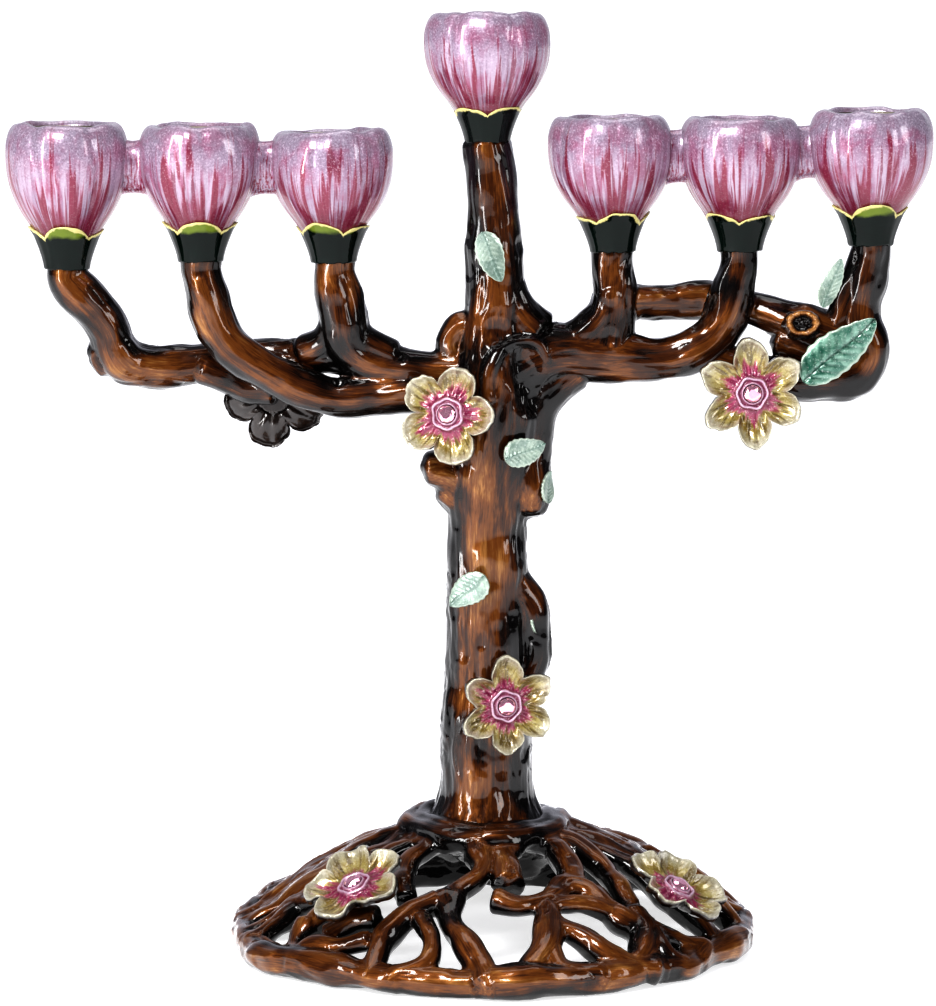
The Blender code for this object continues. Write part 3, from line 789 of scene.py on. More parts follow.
def on_dome(strand, radius):
    """Turns bearings from the front and distances from the axis into a strand on the dome."""
    out = []
    for i, (bearing, distance) in enumerate(strand):
        turn = math.radians(bearing)
        reach = min(distance, RIM_REACH)
        z = float(dome(reach)) - radius * 1.02
        if distance > 54:
            z = max(2.6, z)
        swell = 1.12 * radius * (1 + 0.22 * math.sin(2.3 * i + bearing * 0.3))
        out.append((BASE_X + reach * math.sin(turn), -reach * math.cos(turn), z, swell))
    return out


# bearing and distance of each root's points, and its half thickness
FRONT_ROOTS = (
    (((-70, 10), (-84, 19), (-90, 26), (-85, 33), (-77, 38), (-72, 45), (-70, 51), (-70, 56)), 2.4),
    (((-50, 8), (-50, 14), (-47, 21), (-42, 28), (-31, 36)), 2.1),
    (((-40, 8), (-14, 14), (-11, 18), (-6, 24), (-11, 30), (-19, 35.5), (-26, 39.5), (-29, 45),
      (-29, 49), (-28, 55)), 2.3),
    (((-16, 34), (-13, 40), (-7, 46.5), (-3, 52), (-2, 56)), 2.8),
    (((6, 6), (5, 17.5), (6, 24), (6, 29)), 2.8),
    (((18, 10), (30, 13.5), (42, 17), (43, 20), (38, 26), (33, 31.5)), 2.3),
    (((0, 34.5), (8, 36), (18, 35), (28, 31.6), (35, 33.5), (37, 39), (39, 43), (43, 46)), 2.5),
    (((17, 36), (16, 41), (13, 47.5), (9, 51.5), (5, 56)), 2.4),
    (((18, 42), (24, 46), (27, 50), (32, 53), (38, 56)), 2.3),
    (((15, 43), (14, 48), (15, 53), (23, 55)), 1.9),
    (((44, 42), (42, 47), (37, 51), (33, 53)), 2.4),
    (((56, 9), (62, 18), (57, 27), (51, 33), (46, 39), (44, 43)), 2.3),
    (((88, 12), (98, 21), (95, 28), (84, 31.5), (77, 35.5), (70, 42)), 2.1),
    (((105, 10), (108, 22), (104, 32), (97, 42), (92, 50), (88, 56)), 2.3),
    (((44, 47), (51, 50.5), (56, 53), (52, 56)), 2.1),
    (((44, 48), (43, 53), (46, 56)), 1.9),
    (((-50, 53), (-46, 51), (-40, 50), (-33, 48)), 1.9),
    (((-57, 47), (-54, 52), (-47, 56)), 2.2),
    (((-74, 55), (-76, 50), (-74, 44), (-67, 41), (-60, 36)), 2.2),
    (((-64, 14), (-64, 24), (-60, 33), (-56, 41), (-56, 48)), 2.2),
    (((70, 10), (72, 22), (72, 33), (66, 42), (64, 49), (62, 56)), 2.2),
    (((78, 35), (84, 44), (80, 51), (76, 56)), 2.2),
    (((-88, 26), (-90, 36), (-88, 46), (-86, 55)), 2.1),
    (((-104, 18), (-112, 27), (-110, 35), (-102, 41), (-96, 48), (-92, 55)), 2.7),
    (((-22, 41), (-16, 47), (-16, 52), (-22, 56)), 2.0),
    (((20, 37), (30, 38), (37, 41)), 2.0),
    (((-36, 42), (-42, 44), (-47, 48)), 2.2),
)


def root_strands():
    """The front roots as laid out, and the back ones as their mirror with a slow drift."""
    for strand, radius in FRONT_ROOTS:
        yield strand, radius
        back = tuple(
            (180 - bearing * 0.97 + 5 * math.sin(distance * 0.11 + bearing * 0.05), distance)
            for bearing, distance in strand)
        yield back, radius
    for side in (-1, 1):
        yield tuple((side * (97 + 7 * math.sin(d * 0.16)), d) for d in range(8, 57, 7)), 2.2
        yield tuple((side * (88 + 0.9 * (d - 30)), d) for d in range(28, 54, 6)), 1.9


def crown_reach(bearing):
    """How far the closed plate at the top of the dome spreads, by bearing from the front."""
    turn = np.degrees(bearing)
    reach = 20.0 + 6.5 * smoothstep(70, 120, np.abs(turn))
    for middle in (-22, 27, 60):
        reach = reach - 2.6 * np.exp(-((turn - middle) / 11.0) ** 2)
    return reach + 1.0 * np.sin(5 * bearing + 1) + 0.6 * np.sin(9 * bearing)


def crown_shell():
    """The closed plate at the top of the dome and the closed apron low at its back."""
    share = np.concatenate([np.linspace(0.002, 1, 18), np.linspace(0.985, 0.002, 16)])
    drop = np.concatenate([np.full(18, 0.15), np.full(16, 3.4)])
    sides = 90
    bearing = np.arange(sides) / sides * TAU - math.pi
    b = np.tile(bearing, len(share))
    r = np.repeat(share, sides) * crown_reach(b)
    z = dome(r) - np.repeat(drop, sides)
    plate = np.stack([BASE_X + r * np.sin(b), -r * np.cos(b), z], 1)
    faces = grid_faces(len(share), sides, closed_rows=True)
    share = np.concatenate([np.linspace(0, 1, 14), np.linspace(1, 0, 14)])
    drop = np.concatenate([np.full(14, 0.5), np.full(14, 3.0)])
    b = np.tile(bearing, len(share))
    behind = smoothstep(104, 122, np.abs(np.degrees(b)))
    near = 53.4 - (16.0 + 1.2 * np.sin(9 * b)) * behind
    share, drop = np.repeat(share, sides), np.repeat(drop, sides)
    r = near + (RIM_REACH - near) * share
    z = np.maximum(dome(r) - drop, 1.2 + 0.8 * (drop < 1))
    apron = np.stack([BASE_X + r * np.sin(b), -r * np.cos(b), z], 1)
    faces += [tuple(len(plate) + k for k in face)
              for face in grid_faces(len(share) // sides, sides, closed_rows=True)]
    return np.concatenate([plate, apron]), faces


def rim_points():
    """The wavy standing rim, which reaches farther at the front left."""
    rim = []
    for k in range(60):
        a = k / 60 * TAU
        lobe = math.exp(-(((math.degrees(a) - 305) / 30) ** 2))
        reach = 53.9 + 0.7 * math.sin(5 * a + 0.6) + 0.55 * math.sin(11 * a) + 1.8 * lobe
        thick = 3.1 + 0.35 * math.sin(7 * a + 1.0) + 0.3 * math.sin(17 * a)
        rim.append((BASE_X + reach * math.sin(a), -reach * math.cos(a),
                    2.9 + 0.4 * math.sin(6 * a) + 0.3 * math.sin(13 * a), thick))
    return rim


def collar_points():
    """The rolled ring round the trunk's foot."""
    collar = []
    for k in range(36):
        a = k / 36 * TAU
        reach = 13.3 + 0.5 * math.sin(3 * a + 1) + 0.3 * math.sin(7 * a)
        collar.append((BASE_X - 1.2 + reach * math.sin(a), -reach * math.cos(a),
                       26.2 + 0.3 * math.sin(5 * a), 2.3))
    return collar


def let_sag(roots):
    """Sinks the dome a little where its left shoulder droops."""
    place = points_of(roots.data) / MM
    turn = np.degrees(np.arctan2(place[:, 0] - BASE_X, -place[:, 1]))
    reach = np.hypot(place[:, 0] - BASE_X, place[:, 1])
    sag = np.exp(-((turn + 82) / 30) ** 2) * np.exp(-((reach - 44) / 9) ** 2)
    place[:, 2] -= 2.0 * sag * smoothstep(3, 8, place[:, 2])
    roots.data.vertices.foreach_set("co", (place * MM).astype(np.float32).ravel())


def build_roots():
    """The pierced dome of knotted roots, its rim, its closed crown and its collar."""
    wood = Wood()
    for strand, radius in root_strands():
        wood.add(on_dome(strand, radius))
    wood.add(rim_points(), closed=True)
    collar = collar_points()
    wood.add(collar, closed=True)
    wood.add([(BASE_X + (x - BASE_X) * 1.2, y * 1.2, z - 1.1, 2.6) for x, y, z, _ in collar],
             closed=True)
    mesh = skin(wood, "root_dome", 0.5, 6, crown_shell())

    def keep(place):
        return 0.3 + 0.7 * smoothstep(11, 17, np.hypot(place[:, 0] - BASE_X, place[:, 1]))

    # Painted light and painted shade: amber on the faces that look out of the dome, as on the crests
    # of the roots; near-black on their flanks and on faces turned down, and darker near the trunk.
    def painted_light_side(place, normal):
        away = np.stack([place[:, 0] - BASE_X, place[:, 1]], 1)
        reach = np.maximum(np.hypot(away[:, 0], away[:, 1]), 1)
        lean = np.interp(reach, (10, 40, 52, 57), (0.25, 0.6, 0.8, 1.2))
        out = (normal[:, :2] * away).sum(1) / reach * np.sin(lean) + normal[:, 2] * np.cos(lean)
        return np.clip(out, 0, 1) * smoothstep(9, 20, reach) + 0.1

    roots = finish_wood(wood, mesh, "root_dome", ROOT, 1.1, 0.0, keep, painted_light_side)
    let_sag(roots)
    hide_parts("root_base")
    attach(roots, "root")


# ---------------------------------------------------------------- cups

# the cup's outlines: radius and height above its foot
CUP_OUTSIDE = (
    (3.6, 5.3), (6.6, 6.8), (8.3, 9.2), (10.2, 12.0), (11.7, 15.0), (12.7, 18.2), (13.1, 21.6),
    (13.0, 24.8), (12.5, 26.9), (11.8, 28.3), (11.0, 29.05), (10.2, 29.25),
)
CUP_INSIDE = (
    (9.3, 29.15), (9.0, 28.7), (8.8, 28.0), (7.7, 25.8), (7.3, 23.8), (7.3, 18.0), (7.2, 11.8),
)


def profile_curve(points, count):
    """A smooth outline through the points, as evenly spaced ones."""
    flat = np.array([(r, 0, z, 0) for r, z in points])
    line = spline(flat, 0.25)[:, (0, 2)]
    walk = np.concatenate([[0], np.cumsum(np.linalg.norm(np.diff(line, axis=0), axis=1))])
    at = np.linspace(0, walk[-1], count)
    return np.stack([np.interp(at, walk, line[:, 0]), np.interp(at, walk, line[:, 1])], axis=1)


def build_cup(number, name):
    """A tulip cup of six fused petals, with a rolled lip and a hollow for the well."""
    stretch = CUPS[name][3] / CUP_HEIGHT
    outside = profile_curve(CUP_OUTSIDE, 64)
    inside = profile_curve((CUP_OUTSIDE[-1],) + CUP_INSIDE, 22)[1:]
    profile = np.concatenate([outside, inside])
    sides, petals = 168, 6
    r, z, a = turned(profile, sides)
    shell = np.repeat(np.arange(len(profile)) < len(outside), sides).astype(float)
    high = np.clip((z - 6.0) / 24.0, 0, 1)
    phase = a * petals / TAU + 0.37 * number + 0.05 * np.sin(z * 0.25 + number)
    inside_petal = phase - np.floor(phase)
    crest = np.abs(2 * inside_petal - 1)
    swell = 0.34 * (1 - crest ** 4.0) * smoothstep(0.0, 0.45, high) - 0.20
    lap = 0.16 * (inside_petal ** 6 - 0.15)
    around = polar(4.2, a, z * 0.10 + 31.0 * number)
    flute = 0.10 * layered(around * np.array([1.4, 1.4, 0.6]), 3, 7)
    wobble = 0.42 * noise(polar(1.1, a, z * 0.06 + 9 * number), 3)
    bulge = (swell + lap + flute + wobble) * shell
    edge = smoothstep(24.0, 30.0, z)
    wave = (0.30 * noise(around * 0.8, 19) - 0.16 * np.cos(TAU * phase)) * edge
    wave += 0.15 * edge * np.sin(a + number)
    z_out = (z + wave) * stretch
    points = polar(r + bulge, a, z_out)
    faces = grid_faces(len(profile), sides)
    foot = len(points)
    points = np.concatenate([points, [[0, 0, z_out[0]], [0, 0, z_out[-1]]]])
    last = (len(profile) - 1) * sides
    faces += [(foot, (j + 1) % sides, j) for j in range(sides)]
    faces += [(foot + 1, last + j, last + (j + 1) % sides) for j in range(sides)]
    mesh = solid_from("petals_" + name, cup_points(name, points) * MM, faces)
    way = polar(4.4, a, z * 0.33 + 40.0 * number)
    give(mesh, "way", np.concatenate([way, [[0, 0, 0], [0, 0, 0]]]))
    give(mesh, "high", np.concatenate([high, [0, 0]]))
    cup = make_object("petals_" + name, mesh, PETAL)
    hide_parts("cup_" + name)
    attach(cup, "root")


# bearing of the notch nearest the front, and whether the front tip is yellow-green
NOTCHES = {
    "left_outer": (-40, 1.0), "left_middle": (-45, 1.0), "left_inner": (20, 0.9), "centre": (0, 0.2),
    "right_inner": (-31, 0.2), "right_middle": (-5, 0.1), "right_outer": (-43, 1.0),
}


def build_calyx(number, name):
    """A cupped collar of four rounded sepals, with sharp notches, that hugs the foot of the cup."""
    stretch = CUPS[name][3] / CUP_HEIGHT
    sepals = 4
    sides, rows = 176, 26
    a = np.tile(np.arange(sides) / sides * TAU, rows * 2)
    t = np.repeat(np.concatenate([np.linspace(0, 1, rows), np.linspace(1, 0, rows)]), sides)
    outer = np.repeat(np.concatenate([np.ones(rows), np.zeros(rows)]), sides)
    turn, mossy = NOTCHES[name]
    notch = math.radians(turn - 90)
    phase = (a - notch) * sepals / TAU
    which = np.floor(phase + 1e-6) % sepals
    arch = np.abs(np.sin(math.pi * phase)) ** 0.72
    lift = lattice(np.stack([which, which * 0 + number, which * 0], 1).astype(np.int64), 9)
    shore = noise(polar(4, a, 5 * number), 3)
    ahead = smoothstep(0.6, 0.95, -np.sin(a))
    rise = 6.5 + (1.9 + 0.4 * lift + 0.9 * ahead * mossy) * arch + 0.22 * shore
    z = t * rise + (1 - t) * 0.25 * (1 + shore)
    body = np.interp(z, (0, 1.3, 2.8, 4.4, 6.0, 6.8, 8.0, 9.2, 11.0),
                     (4.8, 5.0, 5.4, 5.95, 6.6, 6.95, 7.75, 8.6, 9.8))
    inner = np.interp(z, (0, 5.0, 6.4, 9.2, 12.0), (2.4, 3.6, 5.9, 8.0, 9.9))
    crease = 0.10 * (arch - 0.4) * smoothstep(0.1, 0.6, t) + 0.10 * shore
    r = np.where(outer > 0, body + crease, np.minimum(inner, body - 0.25))
    mesh = solid_from("sepals_" + name, cup_points(name, polar(r, a, z * stretch)) * MM,
                      grid_faces(rows * 2, sides, closed_rows=True))
    give(mesh, "edge", np.clip(1 - (1 - t) * rise / 4.0, 0, 1))
    give(mesh, "moss", 1.4 * mossy * ahead * arch * smoothstep(0.45, 0.8, t))
    calyx = make_object("sepals_" + name, mesh, CALYX)
    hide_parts("calyx_" + name)
    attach(calyx, "root")


WELL = (
    (8.9, 27.9), (9.0, 28.3), (8.75, 28.5), (8.4, 28.2), (7.8, 27.6), (6.75, 25.6), (6.35, 24.0),
    (6.3, 18.0), (6.3, 13.4), (5.9, 12.9), (0.02, 12.8),
)
WELL_BACK = (
    (0.02, 12.1), (6.7, 12.1), (6.95, 12.6), (6.95, 18.0), (6.95, 23.8), (7.3, 25.6), (8.3, 27.9),
)


def build_well(name):
    """The turned metal well, with a rolled lip and a stepped bore."""
    stretch = CUPS[name][3] / CUP_HEIGHT
    profile = WELL + WELL_BACK
    sides = 96
    r, z, a = turned(profile, sides)
    mesh = solid_from("well_" + name, cup_points(name, polar(r, a, z * stretch)) * MM,
                      grid_faces(len(profile), sides, closed_rows=True))
    well = make_object("well_" + name, mesh, PEWTER)
    mesh.set_sharp_from_angle(angle=math.radians(40))
    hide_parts("candle_well_" + name)
    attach(well, "root")


def build_link(number, first, second):
    """The enamelled web between two neighbouring cups, waisted where they come closest."""
    ends = [cup_points(cup, np.array([0, 0, 0.69 * CUPS[cup][3]])) for cup in (first, second)]
    middle = (ends[0] + ends[1]) / 2
    along = (ends[1] - ends[0]) / np.linalg.norm(ends[1] - ends[0])
    rows, sides = 28, 48
    t = np.linspace(-1, 1, rows)
    points, high = [], []
    for value in t:
        flare = abs(value) ** 2.2
        wide = 3.6 + 4.0 * flare
        tall = 5.6 + 1.7 * flare
        for k in range(sides):
            a = k / sides * TAU
            lump = 1 + 0.05 * math.sin(3 * a + 2 * value + number)
            points.append((4.6 * value, wide * math.cos(a) * lump, tall * math.sin(a) * lump))
            high.append(0.60 + 0.22 * math.sin(a))
    points = np.array(points)
    side = np.array([0, 1.0, 0])
    up = np.cross(along, side)
    up = -up if up[2] < 0 else up
    world = middle + points[:, :1] * along + points[:, 1:2] * side + points[:, 2:3] * up
    faces = grid_faces(rows, sides)
    faces.append(tuple(range(sides))[::-1])
    faces.append(tuple(range((rows - 1) * sides, rows * sides)))
    name = f"link_{first}_{second.split('_')[1]}"
    mesh = solid_from("web_" + name, world * MM, faces)
    a = np.tile(np.arange(sides) / sides * TAU, rows)
    give(mesh, "way", np.stack(
        [points[:, 0] * 1.2 + 13 * number, np.cos(a) * 3, points[:, 2] * 0.3], 1))
    give(mesh, "high", np.array(high))
    link = make_object("web_" + name, mesh, PETAL)
    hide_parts(name)
    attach(link, "root")


# ---------------------------------------------------------------- blossoms

def facing(x, y, z, turn, tilt):
    """A place whose +Z looks to the front (-Y), turned to the right and tilted up."""
    stand = Matrix.Rotation(math.radians(90), 4, "X")
    lift = Matrix.Rotation(math.radians(-tilt), 4, "X")
    swing = Matrix.Rotation(math.radians(turn), 4, "Z")
    return Matrix.Translation((x, y, z)) @ swing @ lift @ stand


# name: x, y, z of its seat, turn to the right, tilt up, petals, radius, spin
# (of those on the dome: bearing, distance, petals, radius, spin)
BLOSSOMS = {
    "shoulder": (-3.8, -9.2, 116.1, -14, 6, 5, 9.8, 34),
    "bough": (60.5, -5.2, 120.4, 4, 0, 6, 10.6, 4),
    "trunk": (7.6, -9.2, 53.4, 14, 0, 6, 9.9, 0),
    "bough_rear": (-42.2, 4.9, 118.2, 180, 0, 5, 10.1, 26),
}
ROOT_BLOSSOMS = {
    "root_left": (-44.0, 40.6, 5, 10.6, 30),
    "root_right": (58.5, 44.0, 5, 10.4, 5),
}


def blossom_places():
    for name, (x, y, z, turn, tilt, petals, radius, spin) in BLOSSOMS.items():
        yield name, facing(x, y, z, turn, tilt), petals, radius, spin
    for name, (bearing, distance, petals, radius, spin) in ROOT_BLOSSOMS.items():
        radii = [r for r, _ in DOME]
        k = int(np.searchsorted(radii, distance))
        (r0, z0), (r1, z1) = DOME[k - 1], DOME[k]
        lean = math.atan((z0 - z1) / (r1 - r0))
        height = z0 + (z1 - z0) / (r1 - r0) * (distance - r0)
        turn = math.radians(bearing)
        reach = distance + 1.6 * math.sin(lean)
        place = facing(BASE_X + reach * math.sin(turn), -reach * math.cos(turn),
                       height + 1.6 * math.cos(lean), bearing, 90 - math.degrees(lean))
        yield name, place, petals, radius, spin


def placed(place, points):
    return moved(place, points) * MM


def build_blossom(number, name, place, petals, radius, spin):
    """Cupped, furrowed petals round a raised ring and the claw that holds the crystal."""
    sides = petals * 34
    heart = ((0.02, 2.35), (1.2, 2.35), (1.92, 2.4), (2.0, 3.0), (2.15, 3.3), (2.38, 3.0),
             (2.6, 2.5), (2.85, 2.5), (3.05, 2.95), (3.3, 3.05), (3.55, 2.5))
    rows_out = 30
    a = np.arange(sides) / sides * TAU
    phase = a * petals / TAU
    u = phase - np.floor(phase)
    which = np.floor(phase).astype(int)
    wide = np.sin(math.pi * u)
    jitter = lattice(np.stack([which, which * 0 + number, which * 0], 1), 5)
    outline = (0.64 + 0.36 * wide ** 0.62) * (1 + 0.045 * jitter)
    if petals == 6:
        outline = 0.62 + 0.38 * (1 - np.abs(2 * u - 1) ** 1.5) ** 0.85
        outline *= 1 + 0.05 * jitter
    ragged = 0.022 * layered(polar(9, a, number), 2, 3)
    reach = 1.11 * radius * (outline + ragged)
    rings, out, star = [], [], []
    for r, z in heart:
        if r > 2.8:
            r = r * (1 + 0.05 * np.cos(6 * a + number) + 0.03 * np.sin(4 * a))
        rings.append(polar(r, a, z))
        out.append(a * 0)
        star.append(a * 0)
    for k in range(1, rows_out + 1):
        t = k / rows_out
        r = 3.55 + (reach - 3.55) * t
        bowl = 2.25 - 0.75 * math.sin(math.pi * min(1, t * 1.15)) + 2.0 * t ** 1.8
        cupped = -0.75 * wide ** 1.5 * t + 0.62 * (1 - wide) ** 2 * t * (1 - t) * 2
        rib = 0.17 * np.cos((u - 0.5) * TAU * 3.5) * math.sin(math.pi * t ** 0.8)
        ruffle = 0.42 * t ** 2 * np.sin(a * petals * 2 + 1.7 * which + number)
        crimp = 0.30 * t ** 2 * noise(polar(7, a, 3 * number), 9)
        fold = -0.9 * np.exp(-((np.minimum(u, 1 - u)) / 0.05) ** 2) * t ** 0.7 * (1 - 0.3 * t)
        roll = 0.42 * math.exp(-((t - 0.93) / 0.07) ** 2) - 0.5 * smoothstep(0.96, 1.0, t)
        rings.append(polar(r, a, bowl + cupped + rib + ruffle + crimp + fold + roll))
        out.append(a * 0 + t)
        star.append(t / (0.62 + 0.55 * wide) * (1 + 0.3 * jitter))
    top = np.stack(rings)
    under = top[::-1].copy()
    flat = np.hypot(under[..., 0], under[..., 1])
    under[..., 2] = np.where(flat > 3.3, under[..., 2] - 0.95, -0.4)
    under[..., 2] -= 0.6 * np.clip(1 - flat / radius, 0, 1) * (flat > 3.3)
    points = np.concatenate([top.reshape(-1, 3), under.reshape(-1, 3)])
    c, s = math.cos(math.radians(spin)), math.sin(math.radians(spin))
    points = points @ np.array([[c, s, 0], [-s, c, 0], [0, 0, 1]])
    mesh = solid_from("blossom_" + name, placed(place, points),
                      grid_faces(len(top) * 2, sides, closed_rows=True))
    out, star = np.concatenate(out), np.concatenate(star)
    r = np.hypot(top[..., 0], top[..., 1]).ravel()
    full = np.tile(a, len(top))
    way = polar(5, full, r + 11 * number)
    give(mesh, "out", np.concatenate([out, out[::-1]]))
    give(mesh, "star", np.concatenate([star, star[::-1] * 0 + 1.5]))
    rim = [0, 0, 0, 0.3, 0.7, 0.3, 0, 0, 0.8, 0.9, 0.1] + [0] * rows_out
    give(mesh, "ring", np.concatenate([np.repeat(rim, sides), out * 0]))
    give(mesh, "behind", np.concatenate([smoothstep(0.985, 1.0, out), out * 0 + 1]))
    give(mesh, "way", np.concatenate([way, way[::-1]]))
    flower = make_object("blossom_" + name, mesh, BLOSSOM)
    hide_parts("flower_" + name)
    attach(flower, "root")


def build_crystal(name, place, spin):
    """A round brilliant: table, crown facets, girdle and pavilion."""
    points = [(0, 0, 2.45)]
    for count, r, z, shift in ((8, 1.02, 3.98, 0.5), (8, 1.52, 3.72, 0.0), (16, 1.86, 3.36, 0.25),
                               (16, 1.86, 3.22, 0.25)):
        for k in range(count):
            a = (k + shift) / count * TAU + math.radians(spin)
            points.append((r * math.cos(a), r * math.sin(a), z))
    bm = bmesh.new()
    for point in placed(place, np.array(points)):
        bm.verts.new(point)
    bmesh.ops.convex_hull(bm, input=bm.verts)
    bmesh.ops.recalc_face_normals(bm, faces=bm.faces)
    mesh = bpy.data.meshes.new("stone_" + name)
    bm.to_mesh(mesh)
    bm.free()
    stone = make_object("stone_" + name, mesh, CRYSTAL, smooth=False)
    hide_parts("crystal_" + name)
    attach(stone, "root")


# ---------------------------------------------------------------- leaves

# name: x, y, z, turn to the right, lean from upright, length, width, bend radius, enamel
LEAVES = {
    "leaf_stem": (4.9, -6.9, 149.6, 6, 155, 11.4, 5.8, 7, SAGE),
    "leaf_crotch": (11.7, -9.8, 108.2, 30, 70, 10.4, 6.0, 14, SAGE),
    "leaf_trunk": (0.3, -9.7, 78.2, -24, -134, 10.8, 6.4, 11, SAGE),
    "leaf_side_upper": (16.6, -3.9, 99.8, 60, 6, 7.0, 4.6, 11, SAGE),
    "leaf_side_lower": (14.0, -3.4, 70.5, 70, 20, 5.6, 4.2, 11, SAGE),
    "leaf_large": (79.2, -6.2, 129.5, 0, 46, 20.4, 8.8, 9, TEAL),
    "leaf_outer_stem": (77.9, -1.6, 143.6, 0, 18, 11.2, 4.0, 16, SAGE),
}


def build_leaf(number, name):
    """A thick little blade with a raised margin and pressed ribs, bent round its branch."""
    x, y, z, turn, lean, length, width, bend, enamel = LEAVES[name]
    rows, columns = 44, 25
    grid = np.meshgrid(np.linspace(-1, 1, rows), np.linspace(-1, 1, columns), indexing="ij")
    along, across = grid[0].ravel(), grid[1].ravel()
    off = np.abs(across)
    full = np.maximum(1 - along * along, 0) ** 0.62 * (1 - 0.28 * along) + 0.02
    tooth = 1 + 0.035 * np.sin(along * 24 + number)
    half = 0.5 * width * full * tooth
    px = across * half + 0.06 * width * np.sin(along * 2.2)
    py = 0.5 * length * along
    vein_at = along * 5.0 - off * full * 1.9 + 0.3
    vein = np.abs(vein_at - np.round(vein_at))
    groove = 0.17 if enamel is TEAL else 0.09
    side_rib = np.exp(-(vein / groove) ** 2) * (1 - off) ** 0.4 * (off > 0.05)
    mid_rib = np.exp(-(across * half / 0.28) ** 2)
    rib = np.clip(side_rib * 0.8 + mid_rib, 0, 1)
    pz = 0.75 + 0.32 * off * full - px ** 2 / (2 * bend)
    pz += (-0.32 if enamel is TEAL else 0.20) * rib
    pz += 0.25 * np.sin(along * 3.0 + number) * off + 0.35 * along * along
    top = np.stack([px, py, pz], 1)
    under = top.copy()
    under[:, 2] -= 0.55 + 0.5 * (1 - off) * (1 - np.abs(along))
    count = rows * columns
    faces = grid_faces(rows, columns, closed_columns=False)
    faces += [tuple(count + k for k in f[::-1]) for f in faces]
    border = ([(i, i + 1) for i in range(columns - 1)]
              + [((i + 1) * columns - 1, (i + 2) * columns - 1) for i in range(rows - 1)]
              + [(count - columns + i + 1, count - columns + i) for i in range(columns - 1)]
              + [((i + 1) * columns, i * columns) for i in range(rows - 1)])
    faces += [(a, b, b + count, a + count) for a, b in border]
    place = facing(x, y, z, turn, 0) @ Matrix.Rotation(math.radians(-lean), 4, "Z")
    mesh = solid_from("blade_" + name, placed(place, np.concatenate([top, under])), faces)
    give(mesh, "rib", np.concatenate([rib, rib]))
    margin = smoothstep(0.80, 0.97, off)
    give(mesh, "margin", np.concatenate([margin, margin]))
    give(mesh, "way", np.concatenate([top, top]))
    leaf = make_object("blade_" + name, mesh, enamel)
    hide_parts(name)
    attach(leaf, "root")


def build_knot():
    """The sawn stub: a rolled bark ring round a sunken, cracked end."""
    profile = ((0.02, 2.4), (1.0, 2.3), (1.6, 2.4), (1.9, 3.3), (2.4, 4.0), (3.0, 3.8), (3.4, 2.7),
               (3.7, 1.0), (4.1, -1.5), (4.0, -3.0), (0.02, -3.0))
    line = profile_curve(profile, 60)
    sides = 96
    r, z, a = turned(line, sides)
    around = polar(2.2, a, z * 0.25)
    r = r * (1 + 0.10 * noise(around, 3) + 0.05 * noise(around * 2.5, 4))
    z = z + 0.35 * noise(around * 1.4, 8) * (r > 1)
    points = polar(r, a, z) * (1.12, 0.86, 1)
    place = facing(71.8, -2.0, 134.6, -8, 12)
    mesh = solid_from("sawn_knot", placed(place, points),
                      grid_faces(len(line), sides, closed_rows=True))
    give(mesh, "flow", polar(4, a, r * 3))
    give(mesh, "raised", np.clip(0.30 + 0.18 * z, 0, 1))
    # Painted light and painted shade, as on the bark: amber only on the ring's crest, which faces
    # the front, and darker down its sides and in the sunken end.
    give(mesh, "amber_and_painted_light", 0.3 + 0.9 * smoothstep(2.6, 3.8, z))
    knot = make_object("sawn_knot", mesh, BARK)
    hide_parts("knot_stub")
    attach(knot, "root")


build_tree()
build_roots()
for number, name in enumerate(CUPS):
    build_cup(number, name)
    build_calyx(number, name)
    build_well(name)
for number, (first, second) in enumerate((
        ("left_outer", "left_middle"), ("left_middle", "left_inner"),
        ("right_inner", "right_middle"), ("right_middle", "right_outer"))):
    build_link(number, first, second)
for number, (name, place, petals, radius, spin) in enumerate(blossom_places()):
    build_blossom(number, name, place, petals, radius, spin)
    build_crystal(name, place, spin)
for number, name in enumerate(LEAVES):
    build_leaf(number, name)
build_knot()
for name in ("base_screw", "base_washer"):
    nodes[name].data.materials.clear()
    nodes[name].data.materials.append(STEEL)


# ---------------------------------------------------------------- light and camera

EYE = (0.0, -0.910, 0.2124)  # metres
LENS = 152
LOOK_DOWN = 7.3  # degrees
FLOOR_HALF = 6
FLOOR_TOP = -0.0004


def area_light(name, place, target, size, power):
    data = bpy.data.lights.new(name, "AREA")
    data.shape = "RECTANGLE"
    data.size, data.size_y = size
    data.energy = power
    light = bpy.data.objects.new(name, data)
    bpy.context.scene.collection.objects.link(light)
    light.location = place
    light.rotation_euler = (Vector(target) - Vector(place)).to_track_quat("-Z", "Y").to_euler()


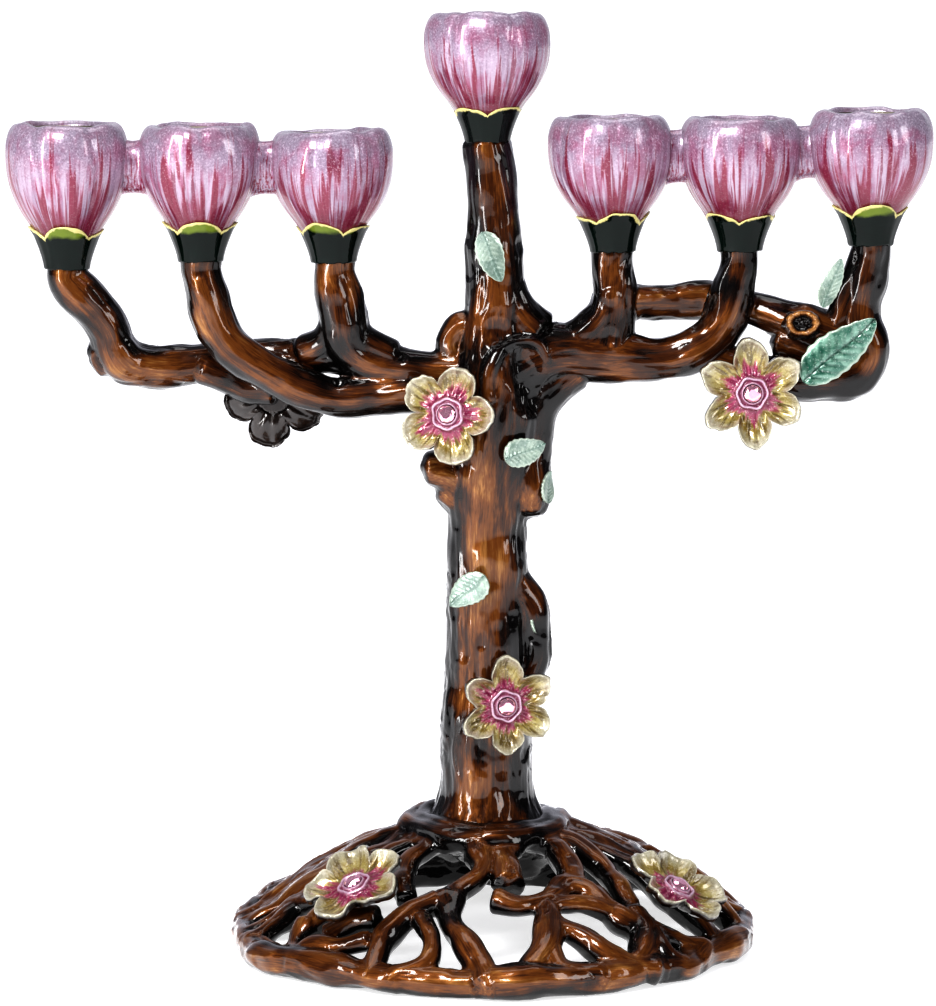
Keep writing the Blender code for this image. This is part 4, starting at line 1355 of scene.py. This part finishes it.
def make_world():
    """A white studio, brighter behind the object than in front of it."""
    world = bpy.data.worlds.new("studio")
    bpy.context.scene.world = world
    world.use_nodes = True
    tree = world.node_tree
    back = tree.nodes["Background"]
    way = node(tree, "ShaderNodeTexCoord").outputs["Generated"]
    split = node(tree, "ShaderNodeSeparateXYZ")
    tree.links.new(way, split.inputs[0])
    depth = mathed(tree, "MULTIPLY_ADD", split.outputs["Y"], 0.5, 0.5)
    sky = ramp(tree, depth, ((0.30, (0.20, 0.205, 0.23)), (0.75, (0.80, 0.80, 0.86))))
    mirrored = ramp(tree, depth, ((0.45, (0.012, 0.012, 0.016)), (0.80, (0.12, 0.12, 0.14)),
                                  (0.97, (0.50, 0.50, 0.56))))
    path = node(tree, "ShaderNodeLightPath")
    sky = blended(tree, path.outputs["Is Glossy Ray"], sky, mirrored)
    seen = path.outputs["Is Camera Ray"]
    tree.links.new(blended(tree, seen, sky, (0.97, 0.97, 0.975)), back.inputs["Color"])
    back.inputs["Strength"].default_value = 1.0


def make_stage():
    """The pale floor and the studio lamps."""
    points = [(x * FLOOR_HALF, y * FLOOR_HALF, FLOOR_TOP)
              for x, y in ((-1, -1), (1, -1), (1, 1), (-1, 1))]
    mesh = mesh_from("floor", points, [(0, 1, 2, 3)])
    made, tree, base = shader("pale_floor")
    place = node(tree, "ShaderNodeTexCoord").outputs["Object"]
    tone = cloud(tree, place, 3.0, 2.0)
    colour = blended(tree, tone, (0.72, 0.72, 0.73), (0.75, 0.75, 0.755))
    tree.links.new(colour, base.inputs["Base Color"])
    base.inputs["Roughness"].default_value = 0.6
    base.inputs["Emission Color"].default_value = (1, 1, 1, 1)
    base.inputs["Emission Strength"].default_value = 0.5
    floor = make_object("floor", mesh, made)
    area_light("key", (-0.30, -0.66, 0.78), (0, 0, 0.12), (0.30, 0.30), 6.5)
    area_light("strip", (-0.72, -0.62, 0.30), (0, 0, 0.10), (0.10, 0.80), 4.6)
    area_light("fill", (0.80, -0.60, 0.45), (0, 0, 0.10), (0.24, 0.50), 2.2)
    area_light("top", (0.0, 0.1, 0.95), (0, 0, 0.1), (0.7, 0.5), 2.2)


def make_camera():
    data = bpy.data.cameras.new("camera")
    data.sensor_width = 36
    data.lens = LENS
    data.clip_start, data.clip_end = 0.05, 20
    camera = bpy.data.objects.new("camera", data)
    bpy.context.scene.collection.objects.link(camera)
    camera.location = EYE
    camera.rotation_euler = (math.radians(90 - LOOK_DOWN), 0, 0)
    bpy.context.scene.camera = camera


make_world()
make_stage()
make_camera()
bpy.context.scene.view_settings.view_transform = "Standard"
bpy.context.scene.view_settings.look = "High Contrast"
